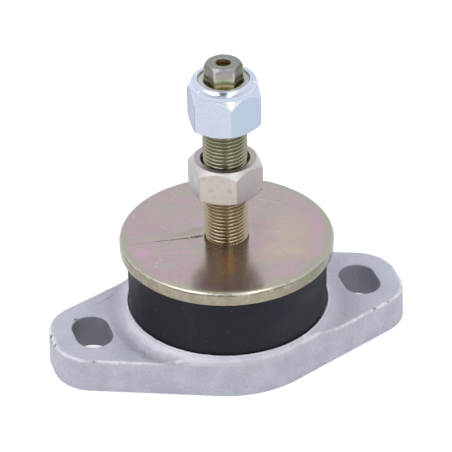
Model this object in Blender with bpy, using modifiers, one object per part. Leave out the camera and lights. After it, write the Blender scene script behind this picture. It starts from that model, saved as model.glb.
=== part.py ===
"""Engine mount: a rubber spring in a cast base, with a stud that sets the engine's height.

The base is bolted down through the slots in its two ears. A thick rubber ring stands in
its boss, bonded to a steel ring below and to a steel plate above. The stud is screwed
through the plate from below, so that its flange and a rubber buffer catch the engine
when the mount is pulled upwards. The engine's foot is clamped between the two nuts.

The base stands on Z = 0, the stud lies on the Z axis and the ears point along X.
"""
import math

import bmesh
import bpy

MM = 0.001

# Clearances and travels
SEAT_GAP = 0.3 * MM
LOAD_TRAVEL = 3.5 * MM
GROUND_CLEARANCE = 0.5 * MM
REBOUND_TRAVEL = 1.5 * MM

# Base casting
SLOT_WIDTH = 13.6 * MM
SLOT_LENGTH = 19.6 * MM
SLOT_SETBACK = 1.3 * MM
EAR_WALL = 8.5 * MM
BOSS_RISE = 4.15 * MM
SIDE_DRAFT = 0.4 * MM
EDGE_ROUND = 1.0 * MM
WAIST_BLEND = 1.2 * MM
FOOT_CHAMFER = 0.4 * MM
WAIST_MARGIN = 0.4 * MM
FLARE_REACH = 6.2 * MM
LIP_WIDTH = 0.8 * MM
LIP_STEP = 0.8 * MM
LIP_DEPTH = 1.1 * MM
LEDGE_WIDTH = 4.0 * MM

# Rubber spring and the metal bonded to it
RUBBER_DIAMETER = 73.6 * MM
RUBBER_SHOWN = 22.6 * MM
BOND_RING_INSET = 0.8 * MM
BOND_RING_THICKNESS = 5.0 * MM
BOND_RING_PLAY = 4.0 * MM
BOND_RING_CHAMFER = 0.6 * MM
TOP_PLATE_OVERHANG = 2.45 * MM
TOP_PLATE_THICKNESS = 5.1 * MM
TOP_PLATE_UPPER_ROUND = 1.5 * MM
TOP_PLATE_LOWER_ROUND = 0.6 * MM
HUB_WALL = 4.7 * MM
HUB_LENGTH = 13.0 * MM
HUB_CHAMFER = 1.0 * MM

# Stud and rebound buffer
THREAD_DIAMETER = 16.0 * MM
THREAD_CHAMFER = 0.8 * MM
THREAD_DEPTH = 0.9 * MM
STUD_FLANGE_OVERLAP = 7.0 * MM
STUD_FLANGE_THICKNESS = 2.8 * MM
STUD_FLANGE_CHAMFER = 0.5 * MM
STUD_FILLET = 1.0 * MM
BUFFER_THICKNESS = 2.5 * MM
BUFFER_INSET = 0.8 * MM
BUFFER_ROUND = 0.7 * MM
HEX_END_FLAT_DEPTH = 1.1 * MM
HEX_END_HIDDEN = 2.5 * MM
HEX_END_SHOWN = 6.1 * MM
HEX_END_CHAMFER = 1.0 * MM
HEX_END_CHAMFER_ANGLE = math.radians(27.0)
HEX_END_TURN = math.radians(15.0)
CENTRE_HOLE_DIAMETER = 5.3 * MM
CENTRE_HOLE_DEPTH = 5.0 * MM

# Nuts
NUT_WALL = 3.7 * MM
NUT_FACE_RATIO = 0.95
NUT_CHAMFER_ANGLE = math.radians(30.0)
NUT_COUNTERSINK = 0.7 * MM
ADJUSTING_NUT_HEIGHT = 13.0 * MM
NUT_STANDOFF = 19.5 * MM
FOOT_SPACE = 14.5 * MM
LOCK_NUT_HEX_HEIGHT = 15.9 * MM
LOCK_NUT_TURN = math.radians(-6.2)
INSERT_WALL = 0.95 * MM
COLLAR_CHAMFER_ANGLE = math.radians(44.0)
COLLAR_HEIGHT = 2.4 * MM
COLLAR_WALL = 2.2 * MM
INSERT_HEIGHT = 4.0 * MM
INSERT_RECESS = 1.0 * MM

# Facets
LARGE_SIDES = 96
SMALL_SIDES = 48
EAR_ARC_STEPS = 8
FLANK_STEPS = 12
WAIST_STEPS = 6
ROUND_STEPS = 3

# Heights, from the ground up
FLANGE_BOTTOM = LOAD_TRAVEL + GROUND_CLEARANCE
FLANGE_TOP = FLANGE_BOTTOM + STUD_FLANGE_THICKNESS
BUFFER_BOTTOM = FLANGE_TOP + SEAT_GAP
BUFFER_TOP = BUFFER_BOTTOM + BUFFER_THICKNESS
BOND_RING_BOTTOM = BUFFER_TOP + REBOUND_TRAVEL + SEAT_GAP
BOND_RING_TOP = BOND_RING_BOTTOM + BOND_RING_THICKNESS
LEDGE_TOP = BOND_RING_BOTTOM - SEAT_GAP
LIP_TOP = BOND_RING_TOP + LIP_DEPTH
EAR_TOP = LIP_TOP - BOSS_RISE
RUBBER_BOTTOM = BOND_RING_TOP + SEAT_GAP
TOP_PLATE_BOTTOM = LIP_TOP + RUBBER_SHOWN + SEAT_GAP
TOP_PLATE_TOP = TOP_PLATE_BOTTOM + TOP_PLATE_THICKNESS
RUBBER_TOP = TOP_PLATE_BOTTOM - SEAT_GAP
HUB_TOP = TOP_PLATE_BOTTOM - SEAT_GAP
ADJUSTING_NUT_BOTTOM = TOP_PLATE_TOP + NUT_STANDOFF
LOCK_NUT_BOTTOM = ADJUSTING_NUT_BOTTOM + ADJUSTING_NUT_HEIGHT + FOOT_SPACE
LOCK_NUT_TOP = LOCK_NUT_BOTTOM + LOCK_NUT_HEX_HEIGHT + COLLAR_HEIGHT
STUD_TOP = LOCK_NUT_TOP + HEX_END_SHOWN

# Radii, from the stud outwards
THREAD_RADIUS = THREAD_DIAMETER / 2
TAPPED_RADIUS = THREAD_RADIUS + SEAT_GAP
HUB_RADIUS = TAPPED_RADIUS + HUB_WALL
HEX_END_RADIUS = THREAD_RADIUS - THREAD_DEPTH
HEX_END_FLATS = 2 * (HEX_END_RADIUS - HEX_END_FLAT_DEPTH)
NUT_FLATS = 2 * (TAPPED_RADIUS + NUT_WALL)
INSERT_RADIUS = TAPPED_RADIUS + INSERT_WALL
COLLAR_SEAT_RADIUS = INSERT_RADIUS + SEAT_GAP
COLLAR_RADIUS = COLLAR_SEAT_RADIUS + COLLAR_WALL
BOND_RING_BORE = THREAD_RADIUS + BOND_RING_PLAY
STUD_FLANGE_RADIUS = BOND_RING_BORE + STUD_FLANGE_OVERLAP
RUBBER_RADIUS = RUBBER_DIAMETER / 2
BOND_RING_RADIUS = RUBBER_RADIUS - BOND_RING_INSET
SEAT_RADIUS = BOND_RING_RADIUS + SEAT_GAP
CAVITY_RADIUS = SEAT_RADIUS - LEDGE_WIDTH
LIP_INNER = RUBBER_RADIUS + SEAT_GAP
LIP_OUTER = LIP_INNER + LIP_WIDTH
WAIST_RADIUS = LIP_OUTER + WAIST_MARGIN
FLARE_FOOT = LIP_OUTER + FLARE_REACH
TOP_PLATE_RADIUS = RUBBER_RADIUS + TOP_PLATE_OVERHANG
EAR_CORNER_RADIUS = SLOT_WIDTH / 2 + EAR_WALL
EAR_X = FLARE_FOOT + SLOT_SETBACK + SLOT_WIDTH / 2
EAR_Y = (SLOT_LENGTH - SLOT_WIDTH) / 2


def new_collection(name):
    """A collection of this name, linked to the scene."""
    collection = bpy.data.collections.new(name)
    bpy.context.scene.collection.children.link(collection)
    return collection


def finish_material(name, color, roughness, metallic):
    """One piece's plain finish."""
    material = bpy.data.materials.new(name)
    material.use_nodes = True
    shader = material.node_tree.nodes["Principled BSDF"]
    shader.inputs["Base Color"].default_value = (*color, 1.0)
    shader.inputs["Roughness"].default_value = roughness
    shader.inputs["Metallic"].default_value = metallic
    material.diffuse_color = (*color, 1.0)
    return material


def add_object(name, mesh, collection, height=0.0):
    """Put a mesh into a collection, with its origin on the stud's axis at a height."""
    piece = bpy.data.objects.new(name, mesh)
    piece.location = (0.0, 0.0, height)
    collection.objects.link(piece)
    return piece


def dress(piece, color, roughness, metallic, parent=None):
    """Give a piece its material and its carrier."""
    piece.data.materials.append(finish_material(piece.name, color, roughness, metallic))
    piece.parent = parent
    return piece


def arc(centre_r, centre_z, radius_r, radius_z, start, end, steps=ROUND_STEPS):
    """Points of a round corner in a turned profile, as (radius, height)."""
    points = []
    for step in range(steps + 1):
        angle = math.radians(start + (end - start) * step / steps)
        points.append((centre_r + radius_r * math.cos(angle), centre_z + radius_z * math.sin(angle)))
    return points


def turned(name, profile, collection, height=0.0, sides=SMALL_SIDES):
    """Turn a profile round Z. It runs down the outer side, and closes on itself or on the axis."""
    mesh = bpy.data.meshes.new(name)
    edges = [(i, i + 1) for i in range(len(profile) - 1)]
    if profile[0][0] > 0.0:
        edges.append((len(profile) - 1, 0))
    mesh.from_pydata([(r, 0.0, z) for r, z in profile], edges, [])
    piece = add_object(name, mesh, collection, height)
    screw = piece.modifiers.new("turn", "SCREW")
    screw.axis = "Z"
    screw.angle = math.tau
    screw.steps = sides
    screw.render_steps = sides
    screw.use_merge_vertices = True
    screw.merge_threshold = 0.01 * MM
    screw.use_smooth_shade = True
    return piece


def boolean(piece, cutter, operation):
    """Cut a piece with a cutter, or keep only what lies inside it."""
    cutter.hide_render = True
    cutter.display_type = "WIRE"
    cutter.parent = piece
    modifier = piece.modifiers.new(cutter.name, "BOOLEAN")
    modifier.operation = operation
    modifier.solver = "EXACT"
    modifier.object = cutter


def hexagon(name, across_flats, bottom, top, turn, collection):
    """A hexagonal bar with two corners on the Y axis, turned about Z."""
    mesh = bpy.data.meshes.new(name)
    bar = bmesh.new()
    corner_radius = across_flats / math.sqrt(3.0)
    bmesh.ops.create_cone(bar, cap_ends=True, segments=6, radius1=corner_radius,
                          radius2=corner_radius, depth=top - bottom)
    bmesh.ops.translate(bar, vec=(0.0, 0.0, (top + bottom) / 2), verts=bar.verts)
    bar.to_mesh(mesh)
    bar.free()
    piece = add_object(name, mesh, collection)
    piece.rotation_euler = (0.0, 0.0, turn)
    return piece


def drum(name, radius, bottom, top, collection):
    """A round bar about Z."""
    profile = [(0.0, top), (radius, top), (radius, bottom), (0.0, bottom)]
    return turned(name, profile, collection)


def waist_tangent():
    """Direction in which the straight flank between waist and ear faces."""
    reach = math.hypot(EAR_X, EAR_Y)
    return math.atan2(EAR_Y, EAR_X) + math.acos((WAIST_RADIUS - EAR_CORNER_RADIUS) / reach)


def outline_reach(angle, grow=0.0):
    """Distance from the axis to the base's outline in a direction, drawn outwards by grow."""
    x, y = abs(math.cos(angle)), abs(math.sin(angle))
    direction = math.atan2(y, x)
    facing = waist_tangent()
    corner = EAR_CORNER_RADIUS + grow
    flank_start = math.atan2(EAR_Y + corner * math.sin(facing), EAR_X + corner * math.cos(facing))
    if direction >= facing:
        return WAIST_RADIUS + grow
    if direction >= flank_start:
        return (WAIST_RADIUS + grow) / math.cos(facing - direction)
    if direction <= math.atan2(EAR_Y, EAR_X + corner):
        return (EAR_X + corner) / x
    along = EAR_X * x + EAR_Y * y
    return along + math.sqrt(along ** 2 - EAR_X ** 2 - EAR_Y ** 2 + corner ** 2)


def casting_directions():
    """Directions of the casting's sections, closest together round the ears' corners."""
    facing = waist_tangent()
    quarter = []
    for step in range(EAR_ARC_STEPS + 1):
        turn = facing * step / EAR_ARC_STEPS
        corner_y = EAR_Y + EAR_CORNER_RADIUS * math.sin(turn)
        corner_x = EAR_X + EAR_CORNER_RADIUS * math.cos(turn)
        quarter.append(math.atan2(corner_y, corner_x))
    start = quarter[-1]
    quarter += [start + (facing - start) * step / FLANK_STEPS for step in range(1, FLANK_STEPS + 1)]
    rest = math.pi / 2 - facing
    quarter += [facing + rest * step / WAIST_STEPS for step in range(1, WAIST_STEPS)]
    half = [0.0] + quarter + [math.pi / 2] + [math.pi - angle for angle in reversed(quarter)]
    return half + [math.pi + angle for angle in half]


def flare_height(radius):
    """Height of the casting's upper face, which rises from the ears to the foot of the lip."""
    climb = max(0.0, (FLARE_FOOT - radius) / FLARE_REACH)
    return EAR_TOP + (BOSS_RISE - LIP_STEP) * climb ** 2


def casting_section(angle):
    """Section of the casting in one direction: up the side, over the boss and down inside it."""
    reach = outline_reach(angle)
    foot = outline_reach(angle, SIDE_DRAFT)
    edge = min(EDGE_ROUND, (reach - LIP_OUTER) / 2)
    crown = flare_height(reach - edge)
    drop = EDGE_ROUND + WAIST_BLEND * (flare_height(reach) - EAR_TOP) / BOSS_RISE
    section = [(foot - FOOT_CHAMFER, 0.0), (foot, FOOT_CHAMFER)]
    section += arc(reach - edge, crown - drop, edge, drop, 0.0, 90.0)
    width = reach - edge - LIP_OUTER
    flare_start = min(FLARE_REACH, 0.85 * width)
    for share in (1.0, 0.75, 0.5, 0.25, 0.0):
        radius = LIP_OUTER + flare_start * share
        section.append((radius, flare_height(radius)))
    lip_round = LIP_WIDTH / 2
    section += arc(LIP_INNER + lip_round, LIP_TOP - lip_round, lip_round, lip_round, 0.0, 180.0, 4)
    section += [(LIP_INNER, BOND_RING_TOP), (SEAT_RADIUS, BOND_RING_TOP), (SEAT_RADIUS, LEDGE_TOP),
                (CAVITY_RADIUS, LEDGE_TOP), (CAVITY_RADIUS + SIDE_DRAFT, 0.0)]
    return section


def build_base_casting(parts, cutters):
    """The cast base, lofted through its sections, with a bolt slot cut through each ear."""
    loft = bmesh.new()
    columns = []
    for angle in casting_directions():
        x, y = math.cos(angle), math.sin(angle)
        columns.append([loft.verts.new((r * x, r * y, z)) for r, z in casting_section(angle)])
    for column, following in zip(columns, columns[1:] + columns[:1]):
        for i in range(len(column)):
            above = (i + 1) % len(column)
            loft.faces.new((column[i], following[i], following[above], column[above]))
    bmesh.ops.recalc_face_normals(loft, faces=loft.faces)
    mesh = bpy.data.meshes.new("base_casting")
    loft.to_mesh(mesh)
    loft.free()
    mesh.shade_smooth()
    mesh.set_sharp_from_angle(angle=math.radians(35.0))
    casting = add_object("base_casting", mesh, parts)
    for side, label in ((-1, "left"), (1, "right")):
        boolean(casting, slot_cutter(f"slot_{label}", side * EAR_X, cutters), "DIFFERENCE")
    return dress(casting, (0.46, 0.47, 0.52), 0.55, 0.7)


def slot_cutter(name, x, cutters):
    """A slot's prism: the hull of two round bars, longest across the ear."""
    hull = bmesh.new()
    overrun = 2 * MM
    depth = EAR_TOP + 2 * overrun
    for side in (-1, 1):
        bar = bmesh.ops.create_cone(hull, cap_ends=True, segments=SMALL_SIDES, depth=depth,
                                    radius1=SLOT_WIDTH / 2, radius2=SLOT_WIDTH / 2)
        centre = (x, side * EAR_Y, depth / 2 - overrun)
        bmesh.ops.translate(hull, vec=centre, verts=bar["verts"])
    outcome = bmesh.ops.convex_hull(hull, input=hull.verts)
    inner = [item for item in outcome["geom_interior"] if isinstance(item, bmesh.types.BMVert)]
    bmesh.ops.delete(hull, geom=inner, context="VERTS")
    spare = [edge for edge in hull.edges if not edge.link_faces]
    bmesh.ops.delete(hull, geom=spare, context="EDGES")
    bmesh.ops.dissolve_limit(hull, angle_limit=math.radians(0.5), verts=hull.verts, edges=hull.edges)
    mesh = bpy.data.meshes.new(name)
    hull.to_mesh(mesh)
    hull.free()
    return add_object(name, mesh, cutters)


def build_lower_bond_ring(parts):
    """The steel ring under the rubber, pressed into the casting's boss onto its ledge."""
    chamfer = BOND_RING_CHAMFER
    bore, rim, top = BOND_RING_BORE, BOND_RING_RADIUS, BOND_RING_THICKNESS
    profile = [(rim - chamfer, top), (rim, top - chamfer), (rim, chamfer), (rim - chamfer, 0.0),
               (bore + chamfer, 0.0), (bore, chamfer), (bore, top - chamfer), (bore + chamfer, top)]
    ring = turned("lower_bond_ring", profile, parts, BOND_RING_BOTTOM, LARGE_SIDES)
    return dress(ring, (0.30, 0.31, 0.33), 0.45, 0.9)


def build_rubber_spring(parts):
    """The rubber ring that carries the engine, hollow round the threaded hub."""
    bore = HUB_RADIUS + SEAT_GAP
    height = RUBBER_TOP - RUBBER_BOTTOM
    profile = [(RUBBER_RADIUS, height), (RUBBER_RADIUS, 0.0), (bore, 0.0), (bore, height)]
    spring = turned("rubber_spring", profile, parts, RUBBER_BOTTOM, LARGE_SIDES)
    return dress(spring, (0.026, 0.027, 0.032), 0.55, 0.0)


def build_top_plate(parts, carrier):
    """The zinc-plated steel plate on the rubber, tapped for the stud."""
    rim, top = TOP_PLATE_RADIUS, TOP_PLATE_THICKNESS
    upper, lower = TOP_PLATE_UPPER_ROUND, TOP_PLATE_LOWER_ROUND
    profile = arc(rim - upper, top - upper, upper, upper, 90.0, 0.0, 4)
    profile += arc(rim - lower, lower, lower, lower, 0.0, -90.0, 2)
    profile += [(TAPPED_RADIUS, 0.0), (TAPPED_RADIUS, top - NUT_COUNTERSINK),
                (TAPPED_RADIUS + NUT_COUNTERSINK, top)]
    plate = turned("top_plate", profile, parts, TOP_PLATE_BOTTOM, LARGE_SIDES)
    return dress(plate, (0.58, 0.50, 0.42), 0.28, 1.0, carrier)


def build_threaded_hub(parts, carrier):
    """The round weld nut under the plate, which gives the stud its length of thread."""
    rim, chamfer = HUB_RADIUS, HUB_CHAMFER
    profile = [(rim, HUB_LENGTH), (rim, chamfer), (rim - chamfer, 0.0), (TAPPED_RADIUS, 0.0),
               (TAPPED_RADIUS, HUB_LENGTH)]
    hub = turned("threaded_hub", profile, parts, HUB_TOP - HUB_LENGTH)
    return dress(hub, (0.32, 0.32, 0.34), 0.45, 0.9, carrier)


def build_adjusting_stud(parts, cutters, carrier):
    """The threaded stud, with its rebound flange below and a drilled hexagon end above."""
    height = STUD_TOP - FLANGE_BOTTOM
    rim, edge = STUD_FLANGE_RADIUS, STUD_FLANGE_CHAMFER
    end = HEX_END_RADIUS
    crown = end - HEX_END_CHAMFER / math.tan(HEX_END_CHAMFER_ANGLE)
    shoulder = height - HEX_END_SHOWN - HEX_END_HIDDEN
    face = STUD_FLANGE_THICKNESS
    profile = [(0.0, height), (crown, height), (end, height - HEX_END_CHAMFER), (end, shoulder),
               (THREAD_RADIUS, shoulder - THREAD_CHAMFER)]
    profile += arc(THREAD_RADIUS + STUD_FILLET, face + STUD_FILLET, STUD_FILLET, STUD_FILLET,
                   180.0, 270.0)
    profile += [(rim - edge, face), (rim, face - edge), (rim, edge), (rim - edge, 0.0), (0.0, 0.0)]
    stud = turned("adjusting_stud", profile, parts, FLANGE_BOTTOM)
    blank = drum("hexagon_blank", THREAD_DIAMETER, shoulder, height + THREAD_CHAMFER, cutters)
    bar = hexagon("hexagon_bar", HEX_END_FLATS, shoulder - HEX_END_CHAMFER,
                  height + 2 * THREAD_CHAMFER, HEX_END_TURN, cutters)
    boolean(blank, bar, "DIFFERENCE")
    boolean(stud, blank, "DIFFERENCE")
    boolean(stud, centre_drill(height, cutters), "DIFFERENCE")
    return dress(stud, (0.45, 0.40, 0.24), 0.3, 1.0, carrier)


def centre_drill(height, cutters):
    """The drill for the hole in the stud's end, with its 118 degree point."""
    radius = CENTRE_HOLE_DIAMETER / 2
    full = height - CENTRE_HOLE_DEPTH
    point = radius / math.tan(math.radians(59.0))
    above = height + HEX_END_CHAMFER
    return turned("centre_drill", [(0.0, above), (radius, above), (radius, full), (0.0, full - point)],
                  cutters, sides=24)


def build_rebound_buffer(parts, carrier):
    """The rubber ring on the stud's flange, which meets the bond ring when the mount lifts."""
    rim = STUD_FLANGE_RADIUS - BUFFER_INSET
    bore = THREAD_RADIUS + STUD_FILLET + SEAT_GAP
    profile = arc(rim - BUFFER_ROUND, BUFFER_THICKNESS - BUFFER_ROUND, BUFFER_ROUND, BUFFER_ROUND,
                  90.0, 0.0)
    profile += [(rim, 0.0), (bore, 0.0), (bore, BUFFER_THICKNESS)]
    buffer = turned("rebound_buffer", profile, parts, BUFFER_BOTTOM)
    return dress(buffer, (0.03, 0.03, 0.033), 0.6, 0.0, carrier)


def hexagon_nut(name, profile, height, turn, parts, cutters, bottom):
    """A nut: its turned profile, kept only inside a bar of hexagon steel."""
    nut = turned(name, profile, parts, bottom)
    bar = hexagon(f"{name}_bar", NUT_FLATS, -MM, height + MM, turn, cutters)
    boolean(nut, bar, "INTERSECT")
    return nut


def build_adjusting_nut(parts, cutters, carrier):
    """The plain nut under the engine's foot, chamfered and countersunk on both faces."""
    height = ADJUSTING_NUT_HEIGHT
    face = NUT_FLATS / 2 * NUT_FACE_RATIO
    blank = NUT_FLATS / math.sqrt(3.0) + MM
    fall = (blank - face) * math.tan(NUT_CHAMFER_ANGLE)
    sink = NUT_COUNTERSINK
    profile = [(face, height), (blank, height - fall), (blank, fall), (face, 0.0),
               (TAPPED_RADIUS + sink, 0.0), (TAPPED_RADIUS, sink),
               (TAPPED_RADIUS, height - sink), (TAPPED_RADIUS + sink, height)]
    nut = hexagon_nut("adjusting_nut", profile, height, 0.0, parts, cutters, ADJUSTING_NUT_BOTTOM)
    return dress(nut, (0.58, 0.55, 0.50), 0.35, 1.0, carrier)


def build_lock_nut(parts, cutters, carrier):
    """The self-locking nut, whose collar is rolled over its nylon insert."""
    height = LOCK_NUT_HEX_HEIGHT + COLLAR_HEIGHT
    face = NUT_FLATS / 2 * NUT_FACE_RATIO
    blank = NUT_FLATS / math.sqrt(3.0) + MM
    fall = (blank - face) * math.tan(NUT_CHAMFER_ANGLE)
    collar = COLLAR_RADIUS
    shoulder = LOCK_NUT_HEX_HEIGHT - (blank - collar) * math.tan(COLLAR_CHAMFER_ANGLE)
    floor = height - INSERT_RECESS - INSERT_HEIGHT - SEAT_GAP
    half = COLLAR_WALL / 2
    profile = arc(collar - half, height - half, half, half, 180.0, 0.0, 6)
    profile += [(collar, LOCK_NUT_HEX_HEIGHT), (blank, shoulder), (blank, fall), (face, 0.0),
                (TAPPED_RADIUS + NUT_COUNTERSINK, 0.0), (TAPPED_RADIUS, NUT_COUNTERSINK),
                (TAPPED_RADIUS, floor), (COLLAR_SEAT_RADIUS, floor)]
    nut = hexagon_nut("lock_nut", profile, height, LOCK_NUT_TURN, parts, cutters, LOCK_NUT_BOTTOM)
    return dress(nut, (0.66, 0.70, 0.78), 0.18, 1.0, carrier)


def build_nylon_insert(parts, carrier):
    """The nylon ring in the lock nut's collar, which grips the stud's thread."""
    rim = INSERT_RADIUS
    profile = [(rim, INSERT_HEIGHT), (rim, 0.0), (TAPPED_RADIUS, 0.0), (TAPPED_RADIUS, INSERT_HEIGHT)]
    bottom = LOCK_NUT_TOP - INSERT_RECESS - INSERT_HEIGHT
    insert = turned("nylon_insert", profile, parts, bottom)
    return dress(insert, (0.62, 0.61, 0.55), 0.5, 0.0, carrier)


def build_mount():
    """Clear the scene and build the mount's pieces."""
    for old in list(bpy.data.objects):
        bpy.data.objects.remove(old, do_unlink=True)
    parts = new_collection("engine_mount")
    cutters = new_collection("engine_mount_cutters")
    carrier = bpy.data.objects.new("sprung_top", None)
    parts.objects.link(carrier)
    build_base_casting(parts, cutters)
    build_lower_bond_ring(parts)
    build_rubber_spring(parts)
    build_top_plate(parts, carrier)
    build_threaded_hub(parts, carrier)
    build_adjusting_stud(parts, cutters, carrier)
    build_rebound_buffer(parts, carrier)
    build_adjusting_nut(parts, cutters, carrier)
    build_lock_nut(parts, cutters, carrier)
    build_nylon_insert(parts, carrier)


build_mount()
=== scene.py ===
"""The engine mount's looks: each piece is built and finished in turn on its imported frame."""
import math

import bmesh
import bpy
import numpy as np
from mathutils import Matrix, Vector, noise


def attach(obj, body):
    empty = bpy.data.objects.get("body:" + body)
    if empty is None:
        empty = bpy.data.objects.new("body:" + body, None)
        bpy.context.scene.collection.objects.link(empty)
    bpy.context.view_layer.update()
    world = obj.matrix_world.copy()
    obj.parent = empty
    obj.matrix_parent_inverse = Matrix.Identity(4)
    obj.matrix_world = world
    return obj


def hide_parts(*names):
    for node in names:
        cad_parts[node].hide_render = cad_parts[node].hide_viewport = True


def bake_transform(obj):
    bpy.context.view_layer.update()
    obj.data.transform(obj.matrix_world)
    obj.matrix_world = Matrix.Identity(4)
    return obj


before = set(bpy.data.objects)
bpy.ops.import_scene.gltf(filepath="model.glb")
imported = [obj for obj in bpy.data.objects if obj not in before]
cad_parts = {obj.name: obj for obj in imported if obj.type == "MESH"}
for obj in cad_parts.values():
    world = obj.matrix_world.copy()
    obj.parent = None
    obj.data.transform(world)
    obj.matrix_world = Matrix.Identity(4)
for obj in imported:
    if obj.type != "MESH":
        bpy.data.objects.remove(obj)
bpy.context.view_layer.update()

MM = 0.001

# Base casting
# The real base is a die-cast aluminium plate with a slotted ear on each side and a round
# boss with a thin lip. It is shot-blasted, so only its edges and a few knocks are bright;
# the edges are painted lighter, partly as wear and partly as a painted highlight.
# It is one loft through its sections, with the slots and knocks cut and the pads added.
SLOT_RADIUS = 6.8 * MM
SLOT_EDGE_ROUND = 0.55 * MM
SLOT_FOOT_ROUND = 0.15 * MM
EAR_X = 52.2 * MM
EAR_Y = 3.0 * MM
EAR_CORNER_RADIUS = 15.3 * MM
EAR_TOP = 13.35 * MM
LIP_TOP = 17.5 * MM
LIP_INNER = 37.1 * MM
LIP_OUTER = 37.9 * MM
LIP_STEP = 0.8 * MM
LIP_GROOVE = 0.22 * MM
LIP_GROOVE_REACH = 1.1 * MM
WAIST_RADIUS = 38.3 * MM
FLARE_REACH = 6.2 * MM
BOSS_RISE = 4.15 * MM
SIDE_DRAFT = 0.4 * MM
EDGE_ROUND = 1.0 * MM
WAIST_BLEND = 1.2 * MM
FOOT_CHAMFER = 0.4 * MM
SEAT_RADIUS = 36.3 * MM
SEAT_HEIGHT = 16.4 * MM
LEDGE_TOP = 11.1 * MM
CAVITY_RADIUS = 32.3 * MM
CASTING_DIRECTIONS = 560
BURR_HEIGHT = 0.16 * MM
SKIN_WAVE = 0.05 * MM
# Knocks in the edges, as (x, y, z, radius): the nick in the left slot and the chips
KNOCKS = [(-56.1, 9.1, 13.5, 0.75), (50.9, -20.1, 13.2, 0.62), (57.3, -17.5, 13.1, 0.55),
          (-67.3, 2.4, 12.6, 0.80), (-67.6, 0.8, 11.6, 0.62), (-67.4, -3.4, 12.9, 0.60),
          (-56.4, -17.7, 12.9, 0.40), (65.5, -10.2, 12.9, 0.50)]
# Low blank pads on the left ear, as (x, y, turn in degrees, length, width, height)
BLANK_PADS = [(-43.7, -17.5, -29.0, 12.6, 3.4, 0.34), (-43.6, 20.0, 27.0, 12.0, 4.2, 0.12)]
BLANK_PAD_CORNER = 0.9 * MM


def outline_reach(angle, grow=0.0):
    """Distance from the stud's axis to the base's outline, drawn outwards by grow."""
    x, y = abs(math.cos(angle)), abs(math.sin(angle))
    direction = math.atan2(y, x)
    facing = (math.atan2(EAR_Y, EAR_X) + math.acos((WAIST_RADIUS - EAR_CORNER_RADIUS)
                                                   / math.hypot(EAR_X, EAR_Y)))
    corner = EAR_CORNER_RADIUS + grow
    flank_start = math.atan2(EAR_Y + corner * math.sin(facing), EAR_X + corner * math.cos(facing))
    if direction >= facing:
        return WAIST_RADIUS + grow
    if direction >= flank_start:
        return (WAIST_RADIUS + grow) / math.cos(facing - direction)
    if direction <= math.atan2(EAR_Y, EAR_X + corner):
        return (EAR_X + corner) / x
    along = EAR_X * x + EAR_Y * y
    return along + math.sqrt(along ** 2 - EAR_X ** 2 - EAR_Y ** 2 + corner ** 2)


def even_directions(count):
    """Directions that divide the base's outline into equal lengths."""
    angles = np.linspace(0.0, math.tau, 8001)
    reach = np.array([outline_reach(a) for a in angles])
    x, y = reach * np.cos(angles), reach * np.sin(angles)
    run = np.concatenate([[0.0], np.cumsum(np.hypot(np.diff(x), np.diff(y)))])
    return np.interp(np.arange(count) * run[-1] / count, run, angles)


def arc(centre_r, centre_z, radius_r, radius_z, start, end, steps):
    """Points of a round corner in a section, as (radius, height), between two angles."""
    turns = [math.radians(start + (end - start) * step / steps) for step in range(steps + 1)]
    return [(centre_r + radius_r * math.cos(t), centre_z + radius_z * math.sin(t)) for t in turns]


def line(start, end, steps):
    """The points between two points of a section, without its ends."""
    shares = [step / steps for step in range(1, steps)]
    return [(start[0] + (end[0] - start[0]) * s, start[1] + (end[1] - start[1]) * s) for s in shares]


def flare_height(radius):
    """Height of the casting's upper face, with the narrow groove at the foot of the lip."""
    climb = max(0.0, (LIP_OUTER + FLARE_REACH - radius) / FLARE_REACH)
    groove = max(0.0, 1.0 - (radius - LIP_OUTER) / LIP_GROOVE_REACH)
    return EAR_TOP + (BOSS_RISE - LIP_STEP) * climb ** 2 - LIP_GROOVE * groove ** 2


def casting_section(angle):
    """Section of the casting in one direction: up the side, over the boss and down inside."""
    reach, foot = outline_reach(angle), outline_reach(angle, SIDE_DRAFT)
    edge = min(EDGE_ROUND, (reach - LIP_OUTER) / 2)
    crown = flare_height(reach - edge)
    blend = max(0.0, flare_height(reach) - EAR_TOP) / BOSS_RISE
    drop = EDGE_ROUND + WAIST_BLEND * blend
    wall_top = (reach, crown - drop)
    section = [(foot - FOOT_CHAMFER, 0.0), (foot - 0.12 * MM, 0.12 * MM), (foot, FOOT_CHAMFER)]
    section += line(section[-1], wall_top, 12)
    section += arc(reach - edge, crown - drop, edge, drop, 0.0, 90.0, 7)
    width = reach - edge - LIP_OUTER
    flare_start = min(FLARE_REACH + 0.8 * MM, 0.85 * width)
    for share in np.linspace(0.0, 1.0, 21)[1:]:
        radius = reach - edge + (LIP_OUTER + flare_start - reach + edge) * share
        section.append((radius, flare_height(radius)))
    for share in np.linspace(1.0, 0.0, 15)[1:]:
        radius = LIP_OUTER + flare_start * share ** 1.3
        section.append((radius, flare_height(radius)))
    half = (LIP_OUTER - LIP_INNER) / 2
    section += arc(LIP_INNER + half, LIP_TOP - half, half, half, 0.0, 180.0, 8)
    section += [(LIP_INNER, SEAT_HEIGHT), (SEAT_RADIUS, SEAT_HEIGHT), (SEAT_RADIUS, LEDGE_TOP)]
    section += [(CAVITY_RADIUS + 0.3 * MM, LEDGE_TOP), (CAVITY_RADIUS, LEDGE_TOP - 0.3 * MM)]
    cavity_foot = (CAVITY_RADIUS + SIDE_DRAFT, 0.5 * MM)
    section += line(section[-1], cavity_foot, 5)
    section += [cavity_foot, (cavity_foot[0] + 0.5 * MM, 0.0)]
    section += line(section[-1], section[0], 8)
    return section


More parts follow.
